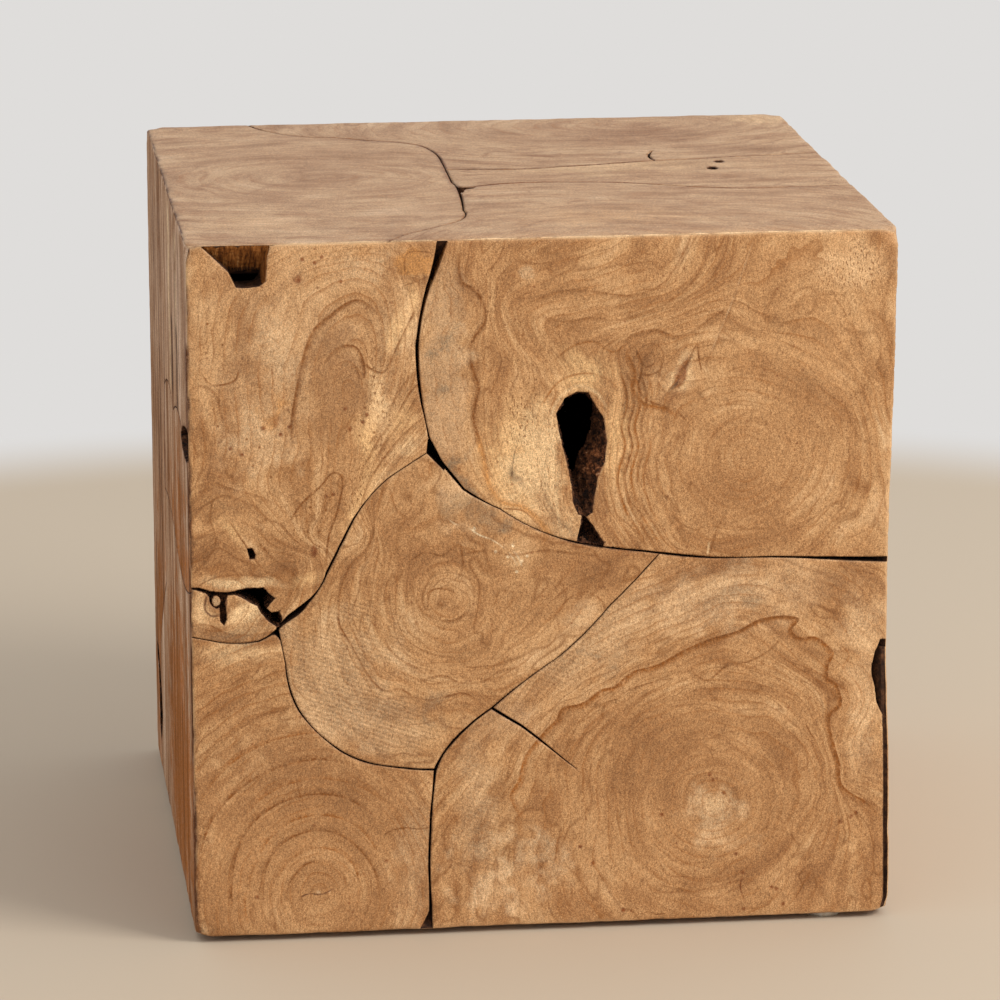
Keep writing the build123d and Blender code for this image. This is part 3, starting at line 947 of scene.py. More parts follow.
    @staticmethod
    def _join(walls: bmesh.types.BMesh, finishes: list[int], skin: dict, faces: np.ndarray,
              shared: np.ndarray) -> tuple[dict, np.ndarray, np.ndarray]:
        """Weld the walls and the skin along the rim.

        Args:
            walls: The walls in face coordinates, which are freed.
            finishes: The finish of each wall face.
            skin: The values of each of the skin's places by name.
            faces: The skin's triangles.
            shared: The number of the wall's vertex that each of the skin's places shares, or -1 for none.

        Returns:
            The values of all places by name, all triangles and the finish of each.
        """
        places = np.array([v.co[:] for v in walls.verts])
        fresh = shared < 0
        total = len(places)
        target = shared.copy()
        target[fresh] = total + np.arange(fresh.sum())
        wall_faces = np.array([[v.index for v in f.verts] for f in walls.faces])
        joined = {}
        for key, values in skin.items():
            joined[key] = np.zeros((total + fresh.sum(), *values.shape[1:]))
            if key == "at":
                joined[key][:total] = places
            joined[key][target] = values
        walls.free()
        kinds = np.concatenate([finishes, np.full(len(faces), Finish.SKIN.value)])
        return joined, np.vstack([wall_faces, target[faces]]), kinds


def add_node(tree: Tree, kind: str, settings: dict | None = None, links: dict | None = None,
             out: int | str = 0) -> Socket | None:
    """Add a node with its settings and links.

    Args:
        tree: The tree it goes into.
        kind: The node's type.
        settings: Its properties; "stops" fills a colour ramp with pairs of place and colour.
        links: Its inputs by name or number, each a socket to link or a value to set.
        out: The output that is wanted, by name or number.

    Returns:
        That output, or nothing where the node has none.
    """
    node = tree.nodes.new(kind)
    for key, value in (settings or {}).items():
        if key == "stops":
            while len(node.color_ramp.elements) < len(value):
                node.color_ramp.elements.new(1.0)
            for element, (place, colour) in zip(node.color_ramp.elements, value):
                element.position, element.color = place, colour
        else:
            setattr(node, key, value)
    for name, value in (links or {}).items():
        if isinstance(value, Socket):
            tree.links.new(value, node.inputs[name])
        else:
            node.inputs[name].default_value = value
    return node.outputs[out] if node.outputs else None


def start_material(name: str) -> tuple[bpy.types.Material, Tree]:
    """Make a material with an empty node tree."""
    material = bpy.data.materials.new(name)
    material.use_nodes = True
    material.node_tree.nodes.clear()
    return material, material.node_tree


@dataclass(frozen=True)
class RootWood:
    """Teak root cut across its growth and sanded by hand: rings at every angle, open pores, a low sheen.

    The sizes are millimetres: the broad and narrow growth bands, the run over which they change along
    themselves, and the spacing of the thin late growth lines. The lean of the fibres is in degrees, and the
    line scales the width of the dark threads.
    """

    name: str
    dark: Tint = Tint.HEART_DARK
    body: Tint = Tint.HEART
    light: Tint = Tint.HEART_LIGHT
    pale: Tint = Tint.HEART_PALE
    broad: float = 11.0
    narrow: float = 2.3
    roughness: float = 0.55
    lean: float = 40.0
    line: float = 1.0
    run: float = 45.0
    ring: float = 6.2
    contrast: float = 1.0
    shine: float = 0.3

    # The tones at which the dark, body, light and pale tints stand
    STOPS = (0.50, 0.64, 0.73, 0.88)
    # The widths and details of four noises in millimetres: specks, mottles, pores and dashes of fibre.
    # Open teak vessels are about 0.3 mm wide: their noise is coarser, or the render would lose them
    SPECK = (0.6, 2.0)
    MOTTLE = (55.0, 4.0)
    PORE = (1.0, 1.0)
    DASH = (1.3, 2.0)
    # Pores and dashes are drawn out along the fibres by this share
    DRAWN_OUT = 0.4
    # The levels of the widest bands at which dark threads run, with their width and strength
    THREADS = ((0.5, 0.016, 0.55), (0.41, 0.012, 0.4), (0.58, 0.01, 0.35))
    # The width and run of the widest bands and the run of the narrow ones, as shares of the broad ones'
    THREAD_BAND = 1.7
    THREAD_RUN = 1.6
    NARROW_RUN = 0.4
    # The spacing of the saw's rows in millimetres, their turn in degrees and the spacing of the freckles
    SAW_ROW = 2.6
    SAW_TURN = -20.0
    FRECKLE = 9.0
    # The depth of the bump in metres
    RELIEF = 0.00035
    # A wave texture of scale 1 repeats every 0.314 units
    WAVE = 0.314
    # How many rays fan out over a radian, and their length in millimetres
    RAYS = 16.0
    RAY_LENGTH = 400.0
    # How crisp a late line's edge is, the width of the zones that have them, and the grains of what is drawn
    LATE_EDGE = 6.0
    LATE_ZONE = 26.0
    GRIT = 2.2
    # What Map Range nodes do: what lies between inputs 1 and 2 is spread between inputs 3 and 4
    LIFT = {1: 0.52, 2: 0.82, 3: 0.62, 4: 1.34}
    GRAINS = {1: 0.38, 2: 0.62, 3: 0.62, 4: 1.3}
    LATE_SHOWS = {1: 0.4, 2: 0.62, 3: 0.06, 4: 0.62}
    PITS = {1: 0.58, 2: 0.63, 3: 0.0, 4: 0.85}
    PITTED = {1: 0.0, 2: 1.0, 3: 0.36, 4: 1.0}
    FRECKLED = {1: 0.55, 2: 0.65, 3: 0.0, 4: 0.55}
    FRECKLE_EDGE = {1: 0.05, 2: 0.11, 3: 1.0, 4: 0.0}
    # How patchy the pale edges are, which are partly wear and partly a painted highlight
    PALE_EDGE_PATCHES = {1: 0.4, 2: 0.6, 3: 0.12, 4: 0.7}

    def build(self) -> bpy.types.Material:
        """Make the material."""
        material, tree = start_material(self.name)
        place = add_node(tree, "ShaderNodeTexCoord", out="Object")
        growth, tint, marks, ray = (
            add_node(tree, "ShaderNodeAttribute", {"attribute_name": name}, out=out)
            for name, out in (("growth", "Fac"), ("tint", "Color"), ("marks", "Vector"), ("ray", "Vector")))
        sawn, porous, wear_and_highlight = add_node(tree, "ShaderNodeSeparateXYZ", {}, {0: marks}).node.outputs
        lively = add_node(tree, "ShaderNodeMapRange", {}, {0: marks.node.outputs["Alpha"], 3: 1.0, 4: 0.0})
        broad, narrow, thread = (self._bands(tree, place, growth, width, run) for width, run in (
            (self.broad, self.run), (self.narrow, self.run * self.NARROW_RUN),
            (self.broad * self.THREAD_BAND, self.run * self.THREAD_RUN)))
        fibres = add_node(tree, "ShaderNodeMapping", {}, {
            0: place, "Rotation": (0, math.radians(self.lean), 0), "Scale": (1, 1, self.DRAWN_OUT)})
        speckle, mottle, pit, dash = (
            add_node(tree, "ShaderNodeTexNoise", {}, {
                "Vector": source, "Scale": PER_MM / size, "Detail": detail, "Roughness": 0.6})
            for source, (size, detail) in (
                (place, self.SPECK), (place, self.MOTTLE), (fibres, self.PORE), (fibres, self.DASH)))
        ring = self._sum(tree, (broad, 0.54), (narrow, 0.13), (None, -0.335))
        strong = add_node(tree, "ShaderNodeMath", {"operation": "MULTIPLY"}, {0: lively, 1: self.contrast})
        ring = add_node(tree, "ShaderNodeMath", {"operation": "MULTIPLY"}, {0: ring, 1: strong})
        tone = self._sum(tree, (ring, 1.0), (speckle, 0.3), (mottle, 0.28), (None, 0.385))
        tints = (one.linear for one in (self.dark, self.body, self.light, self.pale))
        colour = add_node(tree, "ShaderNodeValToRGB", {"stops": tuple(zip(self.STOPS, tints))}, {0: tone})
        pore = self._pores(tree, pit, porous)
        for amount, over in (
            (self._threads(tree, thread, lively), Tint.LINE.linear),
            self._drawn(tree, place, tint, tone),
            (self._late_lines(tree, place, growth, mottle, broad), Tint.LINE_ORANGE.linear),
            (pore, Tint.LINE.linear),
            (self._freckles(tree, place), Tint.RED_BROWN.linear),
        ):
            colour = add_node(tree, "ShaderNodeMix", {"data_type": "RGBA"}, {
                0: amount, 6: colour, 7: over}, out=2)
        saw = self._saw_rows(tree, place, sawn)
        rays = self._rays(tree, ray, growth)
        shade = self._sum(tree, (saw, -0.2), (speckle, 1.3), (dash, 0.7), (rays, 0.3), (None, -0.085))
        colour = add_node(tree, "ShaderNodeVectorMath", {"operation": "SCALE"}, {0: colour, "Scale": shade})
        # The pale edges mix in the pale tint: partly wear, partly a painted highlight on the arris
        patchy = add_node(tree, "ShaderNodeMapRange", {}, {0: mottle, **self.PALE_EDGE_PATCHES})
        pale_edge = add_node(tree, "ShaderNodeMath", {"operation": "MULTIPLY", "use_clamp": True}, {
            0: wear_and_highlight, 1: patchy})
        colour = add_node(tree, "ShaderNodeMix", {"data_type": "RGBA"}, {
            0: pale_edge, 6: colour, 7: self.pale.linear}, out=2)
        height = self._sum(tree, (narrow, 0.5), (speckle, 0.35), (pore, -0.7), (saw, -0.6))
        bump = add_node(tree, "ShaderNodeBump", {}, {
            "Strength": 0.55, "Distance": self.RELIEF, "Height": height})
        rough = add_node(tree, "ShaderNodeMapRange", {}, {
            0: tone, 1: 0.5, 2: 0.8, 3: self.roughness + 0.08, 4: self.roughness - 0.06})
        shader = add_node(tree, "ShaderNodeBsdfPrincipled", {}, {
            "Base Color": colour, "Roughness": rough, "Normal": bump, "IOR": 1.5,
            "Specular IOR Level": self.shine})
        add_node(tree, "ShaderNodeOutputMaterial", {}, {0: shader})
        return material

    @staticmethod
    def _bands(tree: Tree, place: Socket, growth: Socket, width: float, run: float) -> Socket:
        """Make growth bands that change slowly along themselves.

        Args:
            tree: The material's tree.
            place: Where the surface is.
            growth: How old the wood is there.
            width: The width of a band in millimetres.
            run: The length over which a band changes.

        Returns:
            The bands, about 0.5.
        """
        scaled = add_node(tree, "ShaderNodeVectorMath", {"operation": "SCALE"}, {
            0: place, "Scale": PER_MM / run})
        age = add_node(tree, "ShaderNodeMath", {"operation": "MULTIPLY"}, {0: growth, 1: 1 / width})
        return add_node(tree, "ShaderNodeTexNoise", {"noise_dimensions": "4D"}, {
            "Vector": scaled, "W": age, "Scale": 1.0, "Detail": 2.0, "Roughness": 0.55})

    @staticmethod
    def _sum(tree: Tree, *terms: tuple) -> Socket:
        """Add up weighted values; a term without a value is a plain number.

        Args:
            tree: The material's tree.
            terms: Pairs of a value and its weight.

        Returns:
            The sum.
        """
        total = 0.0
        for value, weight in terms:
            total = add_node(tree, "ShaderNodeMath", {"operation": "MULTIPLY_ADD"},
                             {0: 1.0 if value is None else value, 1: weight, 2: total})
        return total

    def _threads(self, tree: Tree, thread: Socket, lively: Socket) -> Socket:
        """Draw thin dark lines where the widest bands pass certain levels.

        Args:
            tree: The material's tree.
            thread: The widest growth bands.
            lively: How plainly the figure shows.

        Returns:
            The cover of the lines.
        """
        line = 0.0
        for level, part, strength in self.THREADS:
            width = part * self.line
            off = add_node(tree, "ShaderNodeMath", {"operation": "COMPARE"}, {0: thread, 1: level, 2: width})
            gap = add_node(tree, "ShaderNodeMath", {"operation": "SUBTRACT"}, {0: thread, 1: level})
            gap = add_node(tree, "ShaderNodeMath", {"operation": "ABSOLUTE"}, {0: gap})
            edge = add_node(tree, "ShaderNodeMapRange", {}, {0: gap, 1: 0.0, 2: width, 3: strength, 4: 0.0})
            line = add_node(tree, "ShaderNodeMath", {"operation": "MULTIPLY_ADD"}, {0: off, 1: edge, 2: line})
        return add_node(tree, "ShaderNodeMath", {"operation": "MULTIPLY"}, {0: line, 1: lively})

    def _drawn(self, tree: Tree, place: Socket, tint: Socket, tone: Socket) -> tuple[Socket, Socket]:
        """Let the wood's own tone show through what is drawn, and break it up into grains.

        Args:
            tree: The material's tree.
            place: Where the surface is.
            tint: The drawn colour.
            tone: The wood's tone.

        Returns:
            The cover and the colour.
        """
        lift = add_node(tree, "ShaderNodeMapRange", {}, {0: tone, **self.LIFT})
        drawn = add_node(tree, "ShaderNodeVectorMath", {"operation": "SCALE"}, {0: tint, "Scale": lift})
        grit = add_node(tree, "ShaderNodeTexNoise", {}, {
            "Vector": place, "Scale": PER_MM / self.GRIT, "Detail": 3.0, "Roughness": 0.7})
        grit = add_node(tree, "ShaderNodeMapRange", {}, {0: grit, **self.GRAINS})
        cover = add_node(tree, "ShaderNodeMath", {"operation": "MULTIPLY", "use_clamp": True}, {
            0: tint.node.outputs["Alpha"], 1: grit})
        return cover, drawn

    def _late_lines(self, tree: Tree, place: Socket, growth: Socket,
                    mottle: Socket, broad: Socket) -> Socket:
        """Draw late growth: a thin dark line with one crisp side, which comes and goes.

        Args:
            tree: The material's tree.
            place: Where the surface is.
            growth: How old the wood is there.
            mottle: The mottles, which make the lines wander.
            broad: The broad bands, which do too.

        Returns:
            The cover of the lines.
        """
        cycle = self._sum(tree, (growth, 1 / self.ring), (mottle, 1.5), (broad, 0.6))
        cycle = add_node(tree, "ShaderNodeMath", {"operation": "FRACT"}, {0: cycle})
        late = add_node(tree, "ShaderNodeMath", {"operation": "POWER"}, {0: cycle, 1: self.LATE_EDGE})
        zone = add_node(tree, "ShaderNodeTexNoise", {}, {
            "Vector": place, "Scale": PER_MM / self.LATE_ZONE, "Detail": 2.0})
        zone = add_node(tree, "ShaderNodeMapRange", {}, {0: zone, **self.LATE_SHOWS})
        return add_node(tree, "ShaderNodeMath", {"operation": "MULTIPLY"}, {0: late, 1: zone})

    def _pores(self, tree: Tree, pit: Socket, porous: Socket) -> Socket:
        """Open pores where a noise is high, and plainer ones where a patch says so.

        Args:
            tree: The material's tree.
            pit: The noise.
            porous: How porous the wood is.

        Returns:
            The cover of the pores.
        """
        pore = add_node(tree, "ShaderNodeMapRange", {}, {0: pit, **self.PITS})
        share = add_node(tree, "ShaderNodeMapRange", {}, {0: porous, **self.PITTED})
        return add_node(tree, "ShaderNodeMath", {"operation": "MULTIPLY"}, {0: pore, 1: share})

    def _freckles(self, tree: Tree, place: Socket) -> Socket:
        """Scatter small round specks, in fewer than half of the cells of a pattern.

        Args:
            tree: The material's tree.
            place: Where the surface is.

        Returns:
            The cover of the specks.
        """
        far = add_node(tree, "ShaderNodeTexVoronoi", {}, {0: place, "Scale": PER_MM / self.FRECKLE})
        chance = far.node.outputs["Color"]
        chosen = add_node(tree, "ShaderNodeMapRange", {}, {0: chance, **self.FRECKLED})
        spot = add_node(tree, "ShaderNodeMapRange", {}, {0: far, **self.FRECKLE_EDGE})
        return add_node(tree, "ShaderNodeMath", {"operation": "MULTIPLY"}, {0: spot, 1: chosen})

    def _saw_rows(self, tree: Tree, place: Socket, sawn: Socket) -> Socket:
        """Draw the rows that a saw left, where a patch says so.

        Args:
            tree: The material's tree.
            place: Where the surface is.
            sawn: How plainly they show.

        Returns:
            The rows, which are 0 between them.
        """
        turned = add_node(tree, "ShaderNodeMapping", {}, {
            0: place, "Rotation": (0, math.radians(self.SAW_TURN), 0)})
        saw = add_node(tree, "ShaderNodeTexWave", {"bands_direction": "Z"}, {
            0: turned, "Scale": self.WAVE * PER_MM / self.SAW_ROW, "Distortion": 2.5, "Detail": 2.0,
            "Detail Scale": 3.0}, out="Fac")
        return add_node(tree, "ShaderNodeMath", {"operation": "MULTIPLY"}, {0: saw, 1: sawn})

    def _rays(self, tree: Tree, ray: Socket, growth: Socket) -> Socket:
        """Fan medullary rays out from the heart: a pattern on the direction from it, drawn out along growth.

        Args:
            tree: The material's tree.
            ray: The direction from the heart.
            growth: How old the wood is.

        Returns:
            The rays, about 0.5.
        """
        age = add_node(tree, "ShaderNodeMath", {"operation": "MULTIPLY"}, {0: growth, 1: 1 / self.RAY_LENGTH})
        return add_node(tree, "ShaderNodeTexNoise", {"noise_dimensions": "4D"}, {
            "Vector": ray, "W": age, "Scale": self.RAYS, "Detail": 2.0, "Roughness": 0.6})


@dataclass(frozen=True)
class RawWood:
    """Wood that no one finished, seen in seams, voids and splits: dark, rough and dull, with a run of fibres.

    The lump and the depth are millimetres. The highlight centre is a place of the model in millimetres about
    which the wood is painted lighter, a painted highlight, and past whose reach it is painted darker, a
    painted shade.
    """

    name: str
    stops: tuple[tuple[float, str], ...]
    lump: float
    stretch: tuple[float, float, float] = (1.0, 1.0, 1.0)
    depth: float = 0.6
    roughness: float = 0.85
    highlight_centre: tuple[float, float, float] | None = None

    HIGHLIGHT_REACH = 17.0
    # How much lighter the painted highlight makes the wood at its centre, and how much darker the painted
    # shade makes it past its reach
    HIGHLIGHT_GAIN = 1.7
    SHADE_PAST_REACH = 0.45

    def build(self) -> bpy.types.Material:
        """Make the material."""
        material, tree = start_material(self.name)
        place = add_node(tree, "ShaderNodeTexCoord", out="Object")
        drawn = add_node(tree, "ShaderNodeVectorMath", {"operation": "MULTIPLY"}, {0: place, 1: self.stretch})
        lumps = add_node(tree, "ShaderNodeTexNoise", {}, {
            "Vector": drawn, "Scale": PER_MM / self.lump, "Detail": 5.0, "Roughness": 0.62,
            "Distortion": 0.5})
        stops = tuple((at, to_linear(tint)) for at, tint in self.stops)
        colour = add_node(tree, "ShaderNodeValToRGB", {"stops": stops}, {0: lumps})
        # A painted highlight about one place, which turns to painted shade past its reach
        if self.highlight_centre:
            far = add_node(tree, "ShaderNodeVectorMath", {"operation": "DISTANCE"}, {
                0: place, 1: tuple(c * MM for c in self.highlight_centre)}, out="Value")
            light = add_node(tree, "ShaderNodeMapRange", {"interpolation_type": "SMOOTHSTEP"}, {
                0: far, 1: 0.0, 2: self.HIGHLIGHT_REACH * MM, 3: self.HIGHLIGHT_GAIN, 4: self.SHADE_PAST_REACH})
            colour = add_node(tree, "ShaderNodeVectorMath", {"operation": "SCALE"}, {
                0: colour, "Scale": light})
        bump = add_node(tree, "ShaderNodeBump", {}, {
            "Strength": 0.9, "Distance": self.depth * MM, "Height": lumps})
        shader = add_node(tree, "ShaderNodeBsdfPrincipled", {}, {
            "Base Color": colour, "Roughness": self.roughness, "Normal": bump, "Specular IOR Level": 0.25})
        add_node(tree, "ShaderNodeOutputMaterial", {}, {0: shader})
        return material


# The sawn or split side of a slice: brown wood whose near black tones are painted shade in the narrow seams
# and deep voids
SEAM_WALL = RawWood("sawn teak in a glued seam", ((0.3, "1d110b"), (0.5, "3c2416"), (0.75, "6b452a")), 3.0)
# Bark caught in the root: near black in its folds, partly its own colour and partly painted shade, red brown
# on its ridges, and palest about one place in the hole, a painted highlight
INGROWN_BARK = RawWood("ingrown root bark", (
    (0.32, "120b08"), (0.43, "3c2316"), (0.53, "6f4227"), (0.62, "99613c"), (0.74, "c79f7c")), 3.0, depth=1.4,
    highlight_centre=(26.0, -194.0, 274.0))
# Torn long fibres of the wood, brown with pale ends
TORN_FIBRE = RawWood("torn teak fibre", (
    (0.32, "46240b"), (0.45, "7f4a1c"), (0.58, "a86c34"), (0.76, "dcab72")), 1.4, (1.0, 0.12, 0.12), 0.8)


def sawn_batten(axis: int) -> RawWood:
    """Make a rough sawn teak batten's wood: straight grain along its length, dull and a little dusty.

    Args:
        axis: The axis of the model along which the batten lies.

    Returns:
        The wood, ready to build.
    """
    stretch = tuple(0.06 if i == axis else 1.0 for i in range(3))
    stops = ((0.3, "6d4a2c"), (0.5, "94693f"), (0.7, "b58a5c"))
    return RawWood("rough sawn teak along " + "xyz"[axis], stops, 2.4, stretch, 0.3, 0.75)


@dataclass(frozen=True)
class MouldedGlide:
    """Clear polypropylene, moulded: milky, with a soft gloss and a few scuffs."""

    name: str = "clear moulded polypropylene"
    dull: str = "cdbfa8"
    clear: str = "e9e2d4"

    # How many scuffs there are in a metre
    SCUFFS = 350.0

    def build(self) -> bpy.types.Material:
        """Make the material."""
        material, tree = start_material(self.name)
        place = add_node(tree, "ShaderNodeTexCoord", out="Object")
        scuff = add_node(tree, "ShaderNodeTexNoise", {}, {
            "Vector": place, "Scale": self.SCUFFS, "Detail": 4.0})
        stops = ((0.35, to_linear(self.dull)), (0.65, to_linear(self.clear)))
        colour = add_node(tree, "ShaderNodeValToRGB", {"stops": stops}, {0: scuff})
        rough = add_node(tree, "ShaderNodeMapRange", {}, {0: scuff, 3: 0.25, 4: 0.5})
        shader = add_node(tree, "ShaderNodeBsdfPrincipled", {}, {
            "Base Color": colour, "Roughness": rough, "Transmission Weight": 0.35, "IOR": 1.49})
        add_node(tree, "ShaderNodeOutputMaterial", {}, {0: shader})
        return material


@dataclass(frozen=True)
class Litter:
    """Small loose bits scattered by Geometry Nodes: bark crumbs on a surface, or fibres along a torn edge.

    The sizes are metres, because they go straight into the tree's inputs, and the sway is in radians.
    """

    name: str
    material: bpy.types.Material
    slot: str
    spacing: float
    smallest: tuple[float, float, float]
    largest: tuple[float, float, float]
    sway: float = math.pi
    along_edges: bool = False
    seed: int = 9

    # The tree's inputs after the geometry, with their types
    INPUTS = (("Spacing", "Float"), ("Smallest", "Vector"), ("Largest", "Vector"), ("Sway", "Float"),
              ("Seed", "Int"))

    def scatter(self, host: bpy.types.Object) -> None:
        """Scatter the bits over a host as one plain mesh, and drop the host.

        Args:
            host: A mesh whose faces or edges carry the bits.
        """
        modifier = host.modifiers.new(self.name, "NODES")
        modifier.node_group = self._tree()
        inputs = {item.name: item.identifier for item in modifier.node_group.interface.items_tree
                  if item.in_out == "INPUT"}
        values = (self.spacing, self.smallest, self.largest, self.sway, self.seed)
        for (name, _), value in zip(self.INPUTS, values):
            modifier[inputs[name]] = value
        seen = host.evaluated_get(bpy.context.evaluated_depsgraph_get())
        mesh = bpy.data.meshes.new_from_object(seen)
        host.modifiers.remove(modifier)
        bpy.data.objects.remove(host)
        mesh.name = self.name
        piece = bpy.data.objects.new(self.name, mesh)
        bpy.context.scene.collection.objects.link(piece)
        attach(piece, BODY)
        LOG.info("%s: %d faces", piece.name, len(mesh.polygons))

    def _tree(self) -> Tree:
        """Build the scattering tree with its named inputs.

        Returns:
            The tree, which takes the host and gives the bits alone.
        """
        tree = bpy.data.node_groups.new(self.name, "GeometryNodeTree")
        face = tree.interface
        face.new_socket("Geometry", in_out="INPUT", socket_type="NodeSocketGeometry")
        for name, kind in self.INPUTS:
            face.new_socket(name, in_out="INPUT", socket_type=f"NodeSocket{kind}")
        face.new_socket("Geometry", in_out="OUTPUT", socket_type="NodeSocketGeometry")
        given = add_node(tree, "NodeGroupInput").node.outputs
        places, bit = self._fibres(tree, given) if self.along_edges else self._crumbs(tree, given)
        low = add_node(tree, "ShaderNodeMath", {"operation": "MULTIPLY"}, {0: given["Sway"], 1: -1.0})
        turn, size = (
            add_node(tree, "FunctionNodeRandomValue", {"data_type": "FLOAT_VECTOR"}, {
                0: least, 1: most, "Seed": given["Seed"]})
            for least, most in ((low, given["Sway"]), (given["Smallest"], given["Largest"])))
        bits = add_node(tree, "GeometryNodeInstanceOnPoints", {}, {
            "Points": places, "Instance": bit, "Rotation": turn, "Scale": size})
        real = add_node(tree, "GeometryNodeRealizeInstances", {}, {0: bits})
        done = add_node(tree, "GeometryNodeSetMaterial", {}, {"Geometry": real, "Material": self.material})
        add_node(tree, "NodeGroupOutput", {}, {0: done})
        return tree

    @staticmethod
    def _fibres(tree: Tree, given: Outputs) -> tuple[Socket, ...]:
        """Set places along the host's edges, for four-sided fibres that hang from them.

        Args:
            tree: The scattering tree.
            given: What goes into it.

        Returns:
            The places and one fibre.
        """
        path = add_node(tree, "GeometryNodeMeshToCurve", {}, {0: given["Geometry"]})
        places = add_node(tree, "GeometryNodeCurveToPoints", {"mode": "LENGTH"}, {
            "Curve": path, "Length": given["Spacing"]})
        bit = add_node(tree, "GeometryNodeMeshCone", {}, {
            "Vertices": 4, "Radius Top": 1.0, "Radius Bottom": 0.15, "Depth": 1.0})
        bit = add_node(tree, "GeometryNodeTransform", {}, {"Geometry": bit, "Translation": (0.0, 0.0, -0.9)})
        return places, bit

    @staticmethod
    def _crumbs(tree: Tree, given: Outputs) -> tuple[Socket, ...]:
        """Set places over the host's faces, for crumbs that are lumpy balls.

        Args:
            tree: The scattering tree.
            given: What goes into it.

        Returns:
            The places and one crumb.
        """
        square = add_node(tree, "ShaderNodeMath", {"operation": "MULTIPLY"}, {
            0: given["Spacing"], 1: given["Spacing"]})
        density = add_node(tree, "ShaderNodeMath", {"operation": "DIVIDE"}, {0: 1.0, 1: square})
        places = add_node(tree, "GeometryNodeDistributePointsOnFaces", {}, {
            "Mesh": given["Geometry"], "Density": density, "Seed": given["Seed"]})
        bit = add_node(tree, "GeometryNodeMeshIcoSphere", {}, {"Radius": 1.0, "Subdivisions": 2})
        bump = add_node(tree, "ShaderNodeTexNoise", {}, {"Scale": 1.3}, out="Color")
        bump = add_node(tree, "ShaderNodeVectorMath", {"operation": "SUBTRACT"}, {
            0: bump, 1: (0.5, 0.5, 0.5)})
        bit = add_node(tree, "GeometryNodeSetPosition", {}, {"Geometry": bit, "Offset": bump})
        return places, bit


